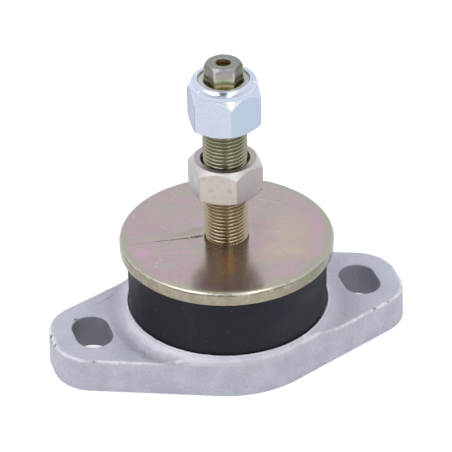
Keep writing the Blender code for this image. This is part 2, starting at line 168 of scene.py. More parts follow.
def loft(name, angles, sections):
    """A closed skin through one section for each direction; a section may end on the axis."""
    mesh = bpy.data.meshes.new(name)
    skin = bmesh.new()
    poles = {}
    columns = []
    for angle, section in zip(angles, sections):
        column = []
        for place, (r, z) in enumerate(section):
            if r < 1e-7:
                if place not in poles:
                    poles[place] = skin.verts.new((0.0, 0.0, z))
                column.append(poles[place])
            else:
                column.append(skin.verts.new((r * math.cos(angle), r * math.sin(angle), z)))
        columns.append(column)
    closed = not poles
    for column, following in zip(columns, columns[1:] + columns[:1]):
        for i in range(len(column) - (0 if closed else 1)):
            above = (i + 1) % len(column)
            corners = [column[i], following[i], following[above], column[above]]
            unique = list(dict.fromkeys(corners))
            if len(unique) > 2:
                skin.faces.new(unique)
    bmesh.ops.recalc_face_normals(skin, faces=skin.faces)
    skin.to_mesh(mesh)
    skin.free()
    return mesh


def new_piece(name, mesh):
    """An object for a mesh, in the scene and at the origin."""
    piece = bpy.data.objects.new(name, mesh)
    bpy.context.scene.collection.objects.link(piece)
    return piece


def smooth(mesh, degrees):
    """Smooth shading, with edges sharper than an angle kept crisp."""
    mesh.shade_smooth()
    mesh.set_sharp_from_angle(angle=math.radians(degrees))


def settle_modifiers(piece):
    """Turn the modifiers' result into the piece's own plain mesh."""
    depsgraph = bpy.context.evaluated_depsgraph_get()
    result = bpy.data.meshes.new_from_object(piece.evaluated_get(depsgraph), depsgraph=depsgraph)
    piece.modifiers.clear()
    piece.data = result
    result.name = piece.name


def save_attribute(mesh, name, values):
    """Keep one number for each vertex, for a material to read."""
    attribute = mesh.attributes.new(name, "FLOAT", "POINT")
    attribute.data.foreach_set("value", np.asarray(values, np.float32))


def keep_form(name, form):
    """Turn a bmesh into a mesh."""
    mesh = bpy.data.meshes.new(name)
    form.to_mesh(mesh)
    form.free()
    return mesh


def join_rings(form, rings):
    """The faces between each ring of a stack and the next."""
    for lower, upper in zip(rings, rings[1:]):
        for i in range(len(lower)):
            j = (i + 1) % len(lower)
            form.faces.new((lower[i], lower[j], upper[j], upper[i]))


def slot_bars():
    """Both bolt slots as solid bars, wider at the faces so that the cut leaves round edges."""
    bars = bmesh.new()
    overrun = 1.5 * MM
    heights = [(-overrun, SLOT_FOOT_ROUND)]
    turns = [step * math.pi / 12 for step in range(7)]
    heights += [(SLOT_FOOT_ROUND * (1 - math.cos(t)), SLOT_FOOT_ROUND * (1 - math.sin(t)))
                for t in turns]
    heights += [(EAR_TOP - SLOT_EDGE_ROUND * (1 - math.cos(t)), SLOT_EDGE_ROUND * (1 - math.sin(t)))
                for t in reversed(turns)]
    heights += [(EAR_TOP + overrun, SLOT_EDGE_ROUND)]
    for side in (-1, 1):
        rings = []
        for z, grow in heights:
            ring = []
            for end in (-1, 1):
                for step in range(41):
                    turn = math.pi * step / 40 + (0.0 if end > 0 else math.pi)
                    radius = SLOT_RADIUS + grow
                    ring.append(bars.verts.new((side * EAR_X + radius * math.cos(turn), end * EAR_Y
                                                + radius * math.sin(turn), z)))
            rings.append(ring)
        join_rings(bars, rings)
        bars.faces.new(list(reversed(rings[0])))
        bars.faces.new(rings[-1])
    bmesh.ops.recalc_face_normals(bars, faces=bars.faces)
    return keep_form("slot_bars", bars)


def knock_lumps():
    """Small rough lumps that the knocks are cut with."""
    lumps = bmesh.new()
    for x, y, z, radius in KNOCKS:
        centre = Vector((x, y, z)) * MM
        made = bmesh.ops.create_icosphere(lumps, subdivisions=2, radius=radius * MM)
        for vertex in made["verts"]:
            rough = 1.0 + 0.45 * noise.noise(vertex.co * 1500.0 + centre * 900.0)
            vertex.co = Vector((vertex.co.x * rough * 1.5, vertex.co.y * rough, vertex.co.z * rough))
            vertex.co += centre
    return keep_form("knock_lumps", lumps)


def blank_pads():
    """The low blank pads on the left ear, with round corners and soft upper edges."""
    pads = bmesh.new()
    for x, y, turn, length, width, height in BLANK_PADS:
        turned_by = Matrix.Rotation(math.radians(turn), 2)
        rings = []
        for grow, z in ((0.10, -0.5), (0.08, 0.25 * height), (0.02, 0.75 * height), (-0.10, height),
                        (-0.45, height), (-0.70, 0.80 * height)):
            radius = BLANK_PAD_CORNER + grow * MM
            ring = []
            for step in range(32):
                swing = math.tau * (step + 0.5) / 32
                side_x, side_y = math.copysign(1.0, math.cos(swing)), math.copysign(1.0,
                                                                                    math.sin(swing))
                corner = Vector((side_x * (length * MM / 2 - BLANK_PAD_CORNER),
                                 side_y * (width * MM / 2 - BLANK_PAD_CORNER)))
                flat = turned_by @ (corner + Vector((math.cos(swing), math.sin(swing))) * radius)
                ring.append(pads.verts.new((x * MM + flat.x, y * MM + flat.y, EAR_TOP + z * MM)))
            rings.append(ring)
        join_rings(pads, rings)
        pads.faces.new(rings[-1])
        pads.faces.new(list(reversed(rings[0])))
    bmesh.ops.recalc_face_normals(pads, faces=pads.faces)
    return keep_form("blank_pads", pads)


def roughen_casting(mesh):
    """Press the cast skin's waves and its burred edge into the loft."""
    for vertex in mesh.vertices:
        x, y, z = vertex.co
        radius, angle = math.hypot(x, y), math.atan2(y, x)
        if radius < LIP_OUTER - 0.9 * MM or z < 0.3 * MM:
            continue
        reach = outline_reach(angle)
        outward = Vector((math.cos(angle), math.sin(angle), 0.0))
        wave = noise.fractal(vertex.co * 160.0, 1.0, 2.0, 3) * SKIN_WAVE
        pitted = noise.noise(vertex.co * 900.0) * SKIN_WAVE * 0.35
        if z > EAR_TOP - 0.7 * MM and radius < reach - 0.4 * MM:
            vertex.co.z += wave + pitted
        else:
            vertex.co += outward * (wave * 0.8 + pitted)
        edge_distance = math.hypot(radius - reach + 0.3 * MM, z - EAR_TOP + 0.3 * MM)
        if z < EAR_TOP + 1.5 * MM and edge_distance < 1.0 * MM:
            ragged = 0.35 + noise.fractal(Vector((x, y, 0.0)) * 520.0, 0.8, 2.0, 4)
            patchy = 0.5 + 0.9 * noise.noise(Vector((x, y, 0.0)) * 70.0)
            lift = BURR_HEIGHT * max(-0.5, ragged * patchy) * (1.0 - edge_distance / (1.0 * MM))
            vertex.co += (outward + Vector((0.0, 0.0, 1.0))) * lift
        lip_distance = math.hypot(radius - LIP_OUTER + 0.4 * MM, z - LIP_TOP)
        if lip_distance < 0.5 * MM:
            vertex.co.z += 0.10 * MM * noise.fractal(Vector((x, y, 0.0)) * 420.0, 0.8, 2.0, 4)


directions = even_directions(CASTING_DIRECTIONS)
casting_mesh = loft("base_casting_skin", directions, [casting_section(a) for a in directions])
roughen_casting(casting_mesh)
casting = new_piece("base_casting_skin", casting_mesh)
casting_tools = []
for tool_mesh, operation in ((slot_bars(), "DIFFERENCE"), (knock_lumps(), "DIFFERENCE"),
                             (blank_pads(), "UNION")):
    tool = new_piece(tool_mesh.name, tool_mesh)
    casting_tools.append(tool)
    modifier = casting.modifiers.new(tool.name, "BOOLEAN")
    modifier.operation = operation
    modifier.solver = "EXACT"
    modifier.object = tool
settle_modifiers(casting)
for tool in casting_tools:
    bpy.data.objects.remove(tool)
casting_mesh = casting.data
edge_wear_and_highlight, knocked, slot_painted_shade = [], [], []
for vertex in casting_mesh.vertices:
    x, y, z = vertex.co
    radius, angle = math.hypot(x, y), math.atan2(y, x)
    reach = outline_reach(angle)
    waist = max(0.0, 1.0 - (reach - WAIST_RADIUS) / (2.0 * MM))
    crown = flare_height(reach - min(EDGE_ROUND, (reach - LIP_OUTER) / 2))
    # Edges painted lighter: partly wear, partly a painted highlight
    edge = math.exp(-((radius - reach + 0.3 * MM) ** 2 + (z - crown + (0.3 + 0.5 * waist) * MM) ** 2)
                    / ((0.85 + 0.25 * waist) * MM) ** 2)
    boss = math.exp(-((radius - LIP_OUTER + 0.4 * MM) ** 2 + (z - LIP_TOP) ** 2) / (0.65 * MM) ** 2)
    across = max(0.0, abs(y) - EAR_Y)
    slot_gap = math.hypot(abs(x) - EAR_X, across) - SLOT_RADIUS - 0.2 * MM
    slot = math.exp(-(slot_gap ** 2 + (z - EAR_TOP) ** 2) / (0.4 * MM) ** 2)
    # Slot walls get painted shade, stronger in the left slot than the right
    in_slot = slot_gap < 0.1 * MM and z < EAR_TOP - 0.4 * MM
    slot_painted_shade.append((1.0 if x < 0.0 else 0.72) if in_slot else 0.0)
    patch = 0.45 + 0.9 * noise.fractal(Vector((x, y, 0.0)) * 130.0, 0.9, 2.0, 3)
    edge_wear_and_highlight.append(min(1.0, max(0.0, edge * (0.55 + 0.7 * patch) + 1.0 * boss + 0.35 * slot * patch)))
    nearest = min(math.dist(vertex.co, Vector(k[:3]) * MM) - k[3] * 1.1 * MM for k in KNOCKS)
    knocked.append(min(1.0, max(0.0, 0.5 - nearest / (0.5 * MM))))
save_attribute(casting_mesh, "edge_wear_and_highlight", edge_wear_and_highlight)
save_attribute(casting_mesh, "knocked", knocked)
save_attribute(casting_mesh, "slot_painted_shade", slot_painted_shade)
smooth(casting_mesh, 42.0)


def add_node(tree, kind, inputs=None, **settings):
    """A node with its settings; each input is another node's socket or a value.

    A colour is given as red, green and blue."""
    new = tree.nodes.new(kind)
    for name, value in settings.items():
        setattr(new, name, value)
    for name, value in (inputs or {}).items():
        if isinstance(value, bpy.types.NodeSocket):
            tree.links.new(value, new.inputs[name])
        else:
            is_color = new.inputs[name].type == "RGBA"
            new.inputs[name].default_value = (*value, 1.0) if is_color else value
    return new


def tree_of(*values):
    """The node tree that holds the first socket among some values."""
    return next(value.id_data for value in values if isinstance(value, bpy.types.NodeSocket))


def calculate(operation, first, second=0.0, clamp=False):
    """One sum on two numbers or sockets."""
    return add_node(tree_of(first, second), "ShaderNodeMath", {0: first, 1: second},
                    operation=operation, use_clamp=clamp).outputs[0]


def times(first, second, clamp=False):
    """The product of two numbers or sockets."""
    return calculate("MULTIPLY", first, second, clamp)


def plus(first, second, clamp=False):
    """The sum of two numbers or sockets."""
    return calculate("ADD", first, second, clamp)


def minus(first, second):
    """The difference between two numbers or sockets."""
    return calculate("SUBTRACT", first, second)


def remap(value, low, high, to_low=0.0, to_high=1.0, curve="SMOOTHSTEP"):
    """A value's place between low and high, as a share between to_low and to_high."""
    inputs = {"Value": value, "From Min": low, "From Max": high, "To Min": to_low, "To Max": to_high}
    return add_node(value.id_data, "ShaderNodeMapRange", inputs, interpolation_type=curve).outputs[0]


def tint(share, base, over, way="MIX"):
    """One colour laid over another by a share."""
    return add_node(tree_of(share, base, over), "ShaderNodeMix", {0: share, 6: base, 7: over},
                    data_type="RGBA", blend_type=way).outputs[2]


def speckle(place, size, detail=3.0, roughness=0.55, stretch=(1.0, 1.0, 1.0)):
    """Soft noise whose spots are about size metres across."""
    tree = place.id_data
    scaled = add_node(tree, "ShaderNodeMapping", {"Vector": place, "Scale": stretch}).outputs[0]
    return add_node(tree, "ShaderNodeTexNoise",
                    {"Vector": scaled, "Scale": 1.0 / size, "Detail": detail,
                     "Roughness": roughness}).outputs["Fac"]


def shaken(value, place, size, reach, detail=3.0):
    """A value moved up and down by soft noise, half of its reach each way."""
    return plus(value, times(minus(speckle(place, size, detail), 0.5), reach))


def axis_parts(place):
    """The x, y and z of a place."""
    return add_node(place.id_data, "ShaderNodeSeparateXYZ", {0: place}).outputs


def object_place(tree):
    """Where a point lies on the object at rest."""
    return add_node(tree, "ShaderNodeTexCoord").outputs["Object"]


def radial_distance(place):
    """Distance from the stud's axis."""
    tree = place.id_data
    flat = add_node(tree, "ShaderNodeVectorMath", {0: place, 1: (1.0, 1.0, 0.0)},
                    operation="MULTIPLY").outputs[0]
    return add_node(tree, "ShaderNodeVectorMath", {0: flat}, operation="LENGTH").outputs["Value"]


def stored(tree, name):
    """A number kept on the piece's vertices."""
    return add_node(tree, "ShaderNodeAttribute", attribute_name=name).outputs["Fac"]


def new_group(name, inputs, outputs):
    """A shader node group with its sockets, as (name, kind, value) and (name, kind)."""
    group = bpy.data.node_groups.new(name, "ShaderNodeTree")
    for label, kind, value in inputs:
        socket = group.interface.new_socket(label, in_out="INPUT", socket_type="NodeSocket" + kind)
        socket.default_value = (*value, 1.0) if kind == "Color" else value
    for label, kind in outputs:
        group.interface.new_socket(label, in_out="OUTPUT", socket_type="NodeSocket" + kind)
    return group, group.nodes.new("NodeGroupInput"), group.nodes.new("NodeGroupOutput")


def fill_group(group, inputs):
    """A group's node, with values or sockets on its inputs."""
    return add_node(tree_of(*inputs.values()), "ShaderNodeGroup", inputs, node_tree=group)


def new_material(name, metallic, specular=0.5):
    """A material with its Principled shader, as (material, tree, shader)."""
    material = bpy.data.materials.new(name)
    material.use_nodes = True
    shader = material.node_tree.nodes["Principled BSDF"]
    shader.inputs["Metallic"].default_value = metallic
    shader.inputs["Specular IOR Level"].default_value = specular
    return material, material.node_tree, shader


def raise_relief(shader, height, depth):
    """Fine relief of a known depth in metres, under the size that the mesh carries."""
    tree = height.id_data
    bump = add_node(tree, "ShaderNodeBump", {"Height": height, "Distance": depth, "Strength": 1.0})
    tree.links.new(bump.outputs[0], shader.inputs["Normal"])


# Blasted or moulded grain: fine pits, with broader mottling of the colour
grain_group, grain_in, grain_out = new_group("surface_grain",
                                             [("Place", "Vector", (0.0, 0.0, 0.0)),
                                              ("Grain Size", "Float", 0.0004),
                                              ("Mottle Size", "Float", 0.008),
                                              ("Light", "Color", (0.5, 0.5, 0.5)),
                                              ("Dark", "Color", (0.4, 0.4, 0.4)),
                                              ("Grain Contrast", "Float", 0.2)],
                                             [("Color", "Color"), ("Height", "Float"),
                                              ("Mottle", "Float")])


def build_grain_group():
    """Wire up the grain group."""
    tree, given = grain_group, grain_in.outputs
    fine = add_node(tree, "ShaderNodeTexNoise",
                    {"Vector": given["Place"], "Detail": 4.0, "Roughness": 0.65,
                     "Scale": calculate("DIVIDE", 1.0, given["Grain Size"])})
    broad = add_node(tree, "ShaderNodeTexNoise",
                     {"Vector": given["Place"], "Detail": 5.0, "Roughness": 0.6,
                      "Scale": calculate("DIVIDE", 1.0, given["Mottle Size"])})
    mottle = remap(broad.outputs["Fac"], 0.32, 0.68)
    grains = remap(fine.outputs["Fac"], 0.3, 0.7)
    lean = times(minus(grains, 0.5), given["Grain Contrast"])
    share = plus(mottle, lean, clamp=True)
    color = tint(share, given["Dark"], given["Light"])
    for name, value in (("Color", color), ("Height", grains), ("Mottle", mottle)):
        tree.links.new(value, grain_out.inputs[name])


build_grain_group()
casting_finish, tree, shader = new_material("cast_aluminium_blasted", 0.35)
place = object_place(tree)
grain = fill_group(grain_group, {"Place": place, "Grain Size": 0.00062, "Mottle Size": 0.008,
                                 "Light": (0.598, 0.613, 0.690), "Dark": (0.495, 0.510, 0.584),
                                 "Grain Contrast": 1.15})
specks = remap(speckle(place, 0.0011, 2.0), 0.70, 0.78)
color = tint(times(specks, 0.45), grain.outputs["Color"], (0.16, 0.15, 0.16))
glints = remap(speckle(place, 0.0009, 1.0), 0.70, 0.80)
color = tint(times(glints, 0.35), color, (0.80, 0.82, 0.86))
along = axis_parts(place)
even_top = remap(along[2], 0.0125, 0.0132, 0.0, 0.45)
color = tint(even_top, color, (0.535, 0.550, 0.624))
# Painted highlight along the edges, partly wear, held back at the front of the waist
bright_edge = remap(times(stored(tree, "edge_wear_and_highlight"), remap(speckle(place, 0.0012), 0.25, 0.6, 0.5, 1.1)),
                    0.10, 0.95)
waist_front = times(remap(along[1], -0.030, -0.036, 0.0, 0.35),
                    remap(calculate("ABSOLUTE", along[0]), 0.030, 0.015))
bright_edge = minus(bright_edge, times(bright_edge, waist_front))
color = tint(times(bright_edge, 0.88), color, (0.80, 0.81, 0.86))
# Painted shade on the slot walls
color = tint(times(stored(tree, "slot_painted_shade"), 0.70), color, (0.21, 0.22, 0.26))
# Painted highlight and painted shade on the flare: a light band by the lip, a dark band further out
ring = shaken(radial_distance(place), place, 0.006, 0.003)
flare_painted_light_mask = times(remap(along[2], 0.0129, 0.0134), remap(along[0], -0.010, 0.010, 1.0, 0.20))
flare_painted_light_mask = times(flare_painted_light_mask, remap(along[1], 0.012, -0.008, 0.25, 1.0))
flare_painted_light_mask = times(flare_painted_light_mask, remap(waist_front, 0.0, 0.35, 1.0, 0.25))
for centre, half, low, high, over in ((0.0385, 0.0020, 0.60, 0.90, (0.80, 0.81, 0.87)),
                                      (0.0430, 0.0028, 0.48, 0.74, (0.33, 0.34, 0.40))):
    painted_flare_band = remap(calculate("ABSOLUTE", minus(ring, centre)), half, 0.0003)
    painted_flare_band = times(times(painted_flare_band, flare_painted_light_mask), remap(speckle(place, 0.0015), 0.3, 0.6, low, high))
    color = tint(painted_flare_band, color, over)
knock_mask = times(stored(tree, "knocked"), remap(speckle(place, 0.0006), 0.35, 0.6))
color = tint(knock_mask, color, (0.13, 0.085, 0.05))
tree.links.new(color, shader.inputs["Base Color"])
roughness = remap(bright_edge, 0.0, 1.0, 0.58, 0.34)
tree.links.new(roughness, shader.inputs["Roughness"])
lumps = times(speckle(place, 0.0013, 2.0), 2.6)
raise_relief(shader, plus(grain.outputs["Height"], lumps), 0.00010)
casting_mesh.materials.clear()
casting_mesh.polygons.foreach_set("material_index", [0] * len(casting_mesh.polygons))
casting_mesh.materials.append(casting_finish)
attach(casting, "base")
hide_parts("base_casting")

# Lower bond ring
# A phosphated steel ring that is bonded under the rubber and pressed into the boss. It is
# only seen from below, through the hollow of the base.
BOND_RING_SECTION = [(12.0, 36.0), (11.4, 16.4), 0.6]


def ring_profile(inner, outer, bottom, top, chamfer, steps=3):
    """Section of a plain ring whose four edges are rounded."""
    c = chamfer
    profile = arc(outer - c, top - c, c, c, 90.0, 0.0, steps)
    profile += arc(outer - c, bottom + c, c, c, 0.0, -90.0, steps)
    profile += arc(inner + c, bottom + c, c, c, 270.0, 180.0, steps)
    profile += arc(inner + c, top - c, c, c, 180.0, 90.0, steps)
    return profile


def turned(name, profile, sides, degrees=35.0):
    """A piece turned round the stud's axis from one section."""
    angles = [math.tau * step / sides for step in range(sides)]
    mesh = loft(name, angles, [profile] * sides)
    smooth(mesh, degrees)
    return new_piece(name, mesh)


def grained_finish(piece, name, metallic, specular, grain, roughness, depth):
    """Give a piece a plain finish that shows only its grain; grain is the group's inputs."""
    material, tree, shader = new_material(name, metallic, specular)
    skin = fill_group(grain_group, {"Place": object_place(tree), **grain})
    tree.links.new(skin.outputs["Color"], shader.inputs["Base Color"])
    tree.links.new(remap(skin.outputs["Mottle"], 0.0, 1.0, *roughness), shader.inputs["Roughness"])
    raise_relief(shader, skin.outputs["Height"], depth)
    piece.data.materials.append(material)


(bore, rim), (bottom, top), chamfer = BOND_RING_SECTION
bond_ring = turned("bond_ring_turned", ring_profile(bore * MM, rim * MM, bottom * MM, top * MM,
                                                    chamfer * MM), 160)
grained_finish(bond_ring, "phosphated_steel", 0.85, 0.5,
               {"Grain Size": 0.0003, "Mottle Size": 0.004, "Light": (0.33, 0.34, 0.36),
                "Dark": (0.22, 0.22, 0.24), "Grain Contrast": 0.8}, (0.42, 0.6), 0.00003)
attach(bond_ring, "base")
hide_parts("lower_bond_ring")

# Rubber spring
# A thick moulded ring of natural rubber that carries the engine's weight. It is bonded to
# the steel above and below, and the real rubber stretches or squashes between them. Its mesh
# has many rings along its height.
RUBBER_RADIUS = 36.8 * MM
RUBBER_BORE = 13.3 * MM
RUBBER_BOTTOM = 16.7 * MM
RUBBER_TOP = 40.1 * MM
RUBBER_EDGE_ROUND = 0.5 * MM
RUBBER_RINGS = 44
RUBBER_SIDES = 240
RUBBER_HOLLOW = 0.12 * MM

edge = RUBBER_EDGE_ROUND
profile = arc(RUBBER_RADIUS - edge, RUBBER_TOP - edge, edge, edge, 90.0, 0.0, 4)
foot = arc(RUBBER_RADIUS - edge, RUBBER_BOTTOM + edge, edge, edge, 0.0, -90.0, 4)
wall = line(profile[-1], foot[0], RUBBER_RINGS)
span = RUBBER_TOP - RUBBER_BOTTOM
profile += [(r - RUBBER_HOLLOW * math.sin(math.pi * (z - RUBBER_BOTTOM) / span), z)
            for r, z in wall] + foot
bore_line = line((RUBBER_BORE, RUBBER_BOTTOM), (RUBBER_BORE, RUBBER_TOP), 24)
profile += [(RUBBER_BORE, RUBBER_BOTTOM)] + bore_line + [(RUBBER_BORE, RUBBER_TOP)]
rubber = turned("rubber_moulding", profile, RUBBER_SIDES)
for vertex in rubber.data.vertices:
    x, y, z = vertex.co
    if math.hypot(x, y) > RUBBER_RADIUS - 2 * RUBBER_EDGE_ROUND:
        ripple = 0.035 * MM * noise.fractal(vertex.co * 110.0, 1.0, 2.0, 2)
        vertex.co += Vector((x, y, 0.0)).normalized() * min(0.0, ripple - 0.02 * MM)
rest = rubber.data.attributes.new("moulded_place", "FLOAT_VECTOR", "POINT")
rest.data.foreach_set("vector", [c for v in rubber.data.vertices for c in v.co])

rubber_finish, tree, shader = new_material("moulded_rubber", 0.0, 0.22)
place = add_node(tree, "ShaderNodeAttribute", attribute_name="moulded_place").outputs["Vector"]
grain = fill_group(grain_group, {"Place": place, "Grain Size": 0.0005, "Mottle Size": 0.010,
                                 "Light": (0.0155, 0.0165, 0.0250), "Dark": (0.0095, 0.0100, 0.0155),
                                 "Grain Contrast": 0.25})
dust = remap(speckle(place, 0.0008, 1.5), 0.715, 0.78)
haze = remap(speckle(place, 0.014, 4.0, 0.6, (1.0, 1.0, 0.45)), 0.50, 0.78)
color = tint(times(haze, 0.20), grain.outputs["Color"], (0.060, 0.070, 0.105))
color = tint(times(dust, 0.55), color, (0.22, 0.23, 0.26))
tree.links.new(color, shader.inputs["Base Color"])
tree.links.new(remap(grain.outputs["Mottle"], 0.0, 1.0, 0.46, 0.62), shader.inputs["Roughness"])
raise_relief(shader, grain.outputs["Height"], 0.00003)
rubber.data.materials.append(rubber_finish)
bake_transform(rubber)
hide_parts("rubber_spring")

# Top plate
# A blanked steel disc, yellow-chromated over zinc, so that it shows pink and green tints.
# Blanking has rolled its upper edge over, and its hole is countersunk round the stud.
PLATE_RADIUS = 39.25 * MM
PLATE_BOTTOM = 40.4 * MM
PLATE_TOP = 45.5 * MM
PLATE_UPPER_ROUND = 1.5 * MM
PLATE_LOWER_ROUND = 0.45 * MM
PLATE_BORE = 8.02 * MM
PLATE_COUNTERSINK = 0.70 * MM
PLATE_COUNTERSINK_DEPTH = 0.14 * MM
PLATE_SIDES = 320
PLATE_WAVE = 0.02 * MM
# The level and the depth of its marks, in millimetres
PLATE_LEVEL = 45.5
MARK_DEPTH = 8.0

upper, lower = PLATE_UPPER_ROUND, PLATE_LOWER_ROUND
countersink = [(PLATE_BORE, PLATE_TOP - PLATE_COUNTERSINK_DEPTH),
               (PLATE_BORE + PLATE_COUNTERSINK, PLATE_TOP)]
profile = arc(PLATE_RADIUS - upper, PLATE_TOP - upper, upper, upper, 90.0, 0.0, 9)
profile += line(profile[-1], (PLATE_RADIUS, PLATE_BOTTOM + lower), 5)
profile += arc(PLATE_RADIUS - lower, PLATE_BOTTOM + lower, lower, lower, 0.0, -90.0, 4)
profile += line(profile[-1], (PLATE_BORE, PLATE_BOTTOM), 6)
profile += [(PLATE_BORE, PLATE_BOTTOM)] + countersink
profile += line(countersink[-1], profile[0], 26)
plate = turned("top_plate_blanked", profile, PLATE_SIDES, 50.0)
for vertex in plate.data.vertices:
    x, y, z = vertex.co
    radius = math.hypot(x, y)
    if z > PLATE_TOP - 1e-6 and radius > PLATE_BORE + 2 * PLATE_COUNTERSINK:
        vertex.co.z += PLATE_WAVE * (noise.fractal(vertex.co * 45.0, 1.0, 2.0, 2) - 0.5)
    elif radius > PLATE_RADIUS - 0.1 * MM and z > PLATE_BOTTOM + lower:
        drag = 0.03 * MM * noise.noise(Vector((x * 260.0, y * 260.0, z * 40.0)))
        vertex.co += Vector((x, y, 0.0)).normalized() * min(0.0, drag - 0.02 * MM)

# Chromate film: its colour drifts between three tints over the part
film_group, film_in, film_out = new_group("chromate_film",
                                          [("Place", "Vector", (0.0, 0.0, 0.0)),
                                           ("Drift Size", "Float", 0.02),
                                           ("Main", "Color", (0.5, 0.5, 0.5)),
                                           ("Warm", "Color", (0.5, 0.4, 0.4)),
                                           ("Cool", "Color", (0.4, 0.5, 0.4)),
                                           ("Drift", "Float", 1.0)],
                                          [("Color", "Color"), ("Cloud", "Float"), ("Grain", "Float")])


def build_film_group():
    """Wire up the chromate film's group."""
    tree, given = film_group, film_in.outputs
    scale = calculate("DIVIDE", 1.0, given["Drift Size"])
    cloud = add_node(tree, "ShaderNodeTexNoise",
                     {"Vector": given["Place"], "Scale": scale, "Detail": 4.0, "Roughness": 0.55,
                      "Distortion": 0.6})
    parts = add_node(tree, "ShaderNodeSeparateColor", {"Color": cloud.outputs["Color"]})
    warm = times(remap(parts.outputs[0], 0.46, 0.66), given["Drift"], clamp=True)
    cool = times(remap(parts.outputs[1], 0.50, 0.70), given["Drift"], clamp=True)
    fine = add_node(tree, "ShaderNodeTexNoise",
                    {"Vector": given["Place"], "Scale": 1900.0, "Detail": 3.0, "Roughness": 0.6})
    color = tint(warm, given["Main"], given["Warm"])
    color = tint(cool, color, given["Cool"])
    shade = remap(fine.outputs["Fac"], 0.25, 0.75, 0.90, 1.06)
    color = tint(1.0, color, add_node(tree, "ShaderNodeCombineColor",
                                      {0: shade, 1: shade, 2: shade}).outputs[0], "MULTIPLY")
    for name, value in (("Color", color), ("Cloud", parts.outputs[2]), ("Grain", fine.outputs["Fac"])):
        tree.links.new(value, film_out.inputs[name])


build_film_group()


def larger(first, second):
    """The larger of two numbers or sockets."""
    return calculate("MAXIMUM", first, second)


def component(direction, axis):
    """How far a direction or a place runs along an axis."""
    return add_node(direction.id_data, "ShaderNodeVectorMath", {0: direction, 1: axis},
                    operation="DOT_PRODUCT").outputs["Value"]


def spot(place, centre, size, turn=0.0, ragged=0.35, ragged_size=0.004, core=0.45):
    """A soft oval mark with a ragged edge: 1 inside its core and 0 outside.

    centre and size are in millimetres and turn is in degrees."""
    tree = place.id_data
    settings = {"Vector": place, "Location": [c * MM for c in centre],
                "Rotation": (0.0, 0.0, math.radians(turn)), "Scale": [s * MM for s in size]}
    local = add_node(tree, "ShaderNodeMapping", settings, vector_type="TEXTURE").outputs[0]
    distance = add_node(tree, "ShaderNodeVectorMath", {0: local}, operation="LENGTH").outputs["Value"]
    return remap(shaken(distance, place, ragged_size, 2.0 * ragged), 1.0, core)


plate_finish, tree, shader = new_material("plate_yellow_chromate", 1.0)
place = object_place(tree)
film = fill_group(film_group, {"Place": place, "Drift Size": 0.018, "Drift": 1.0,
                               "Main": (0.500, 0.425, 0.405), "Warm": (0.540, 0.390, 0.425),
                               "Cool": (0.470, 0.435, 0.375)})
color = film.outputs["Color"]
PLATE_TINTS = [  # centre x, y, half length, half width (mm), turn (degrees), share, colour
    (21.4, -6.0, 15.0, 16.0, -17.0, 0.60, (0.590, 0.480, 0.380)),
    (14.5, -17.8, 14.0, 9.5, -12.0, 0.65, (0.605, 0.512, 0.370)),
    (33.5, -4.0, 4.5, 15.0, -17.0, 0.85, (0.545, 0.380, 0.445)),
    (27.6, -20.5, 4.0, 9.0, -40.0, 0.85, (0.560, 0.390, 0.450)),
    (15.0, -30.0, 12.0, 5.0, 14.0, 0.85, (0.545, 0.395, 0.450)),
    (8.0, -11.5, 4.0, 8.0, -17.0, 0.70, (0.520, 0.350, 0.410)),
    (-24.0, -25.0, 7.5, 4.5, -32.0, 0.30, (0.530, 0.410, 0.450)),
    (-28.5, -12.4, 8.5, 5.0, -25.0, 0.90, (0.445, 0.450, 0.410)),
    (-25.9, 11.0, 12.0, 6.5, -17.0, 0.70, (0.520, 0.368, 0.425)),
    (-27.0, 22.0, 10.0, 6.0, 30.0, 0.60, (0.515, 0.370, 0.425)),
    (-7.6, 10.2, 3.2, 3.6, -17.0, 0.85, (0.570, 0.395, 0.500)),
    (-23.2, 5.0, 15.0, 3.4, -12.0, 0.70, (0.450, 0.425, 0.375)),
    (-10.5, 5.6, 5.4, 3.2, -6.0, 0.90, (0.370, 0.345, 0.265)),
    (-32.6, -3.5, 5.4, 4.6, -17.0, 1.00, (0.600, 0.385, 0.510)),
    (-21.2, -6.2, 8.8, 1.9, -13.0, 0.80, (0.600, 0.415, 0.485)),
    (10.0, 31.0, 15.0, 5.0, -15.0, 0.50, (0.530, 0.390, 0.420)),
    (12.6, 0.0, 6.0, 9.0, -17.0, 0.55, (0.440, 0.365, 0.375)),
    # A painted reflection of the stud, in front of it
    (-6.0, -20.5, 13.0, 5.0, -107.0, 0.95, (0.780, 0.520, 0.320)),
    (-14.0, 4.2, 6.0, 2.2, -6.0, 0.60, (0.330, 0.300, 0.215)),
]
for x, y, length, width, turn, share, over in PLATE_TINTS:
    mark = spot(place, (x, y, PLATE_LEVEL), (length, width, MARK_DEPTH), turn, 0.60, 0.007, 0.0)
    color = tint(times(mark, share), color, over)
ring = radial_distance(place)
edge_wander = shaken(ring, place, 0.010, 0.005)
green = times(remap(edge_wander, 0.0352, 0.0376), 0.72)
to_back_left = component(place, (-0.435, 0.904, 0.0))
green = times(green, remap(to_back_left, 0.022, 0.031, 1.0, 0.25))
color = tint(green, color, (0.415, 0.435, 0.335))
to_front = calculate("DIVIDE", component(place, (-0.39, -0.92, 0.0)), PLATE_RADIUS)
yellow = times(remap(ring, 0.0362, 0.0374), remap(to_front, 0.55, 0.95, 0.0, 0.6))
color = tint(yellow, color, (0.520, 0.480, 0.350))
rim_side = remap(ring, 0.03895, 0.03915)
eastward = remap(axis_parts(place)[0], 0.0, 0.030)
rim_tone = tint(eastward, (0.248, 0.214, 0.166), (0.228, 0.240, 0.170))
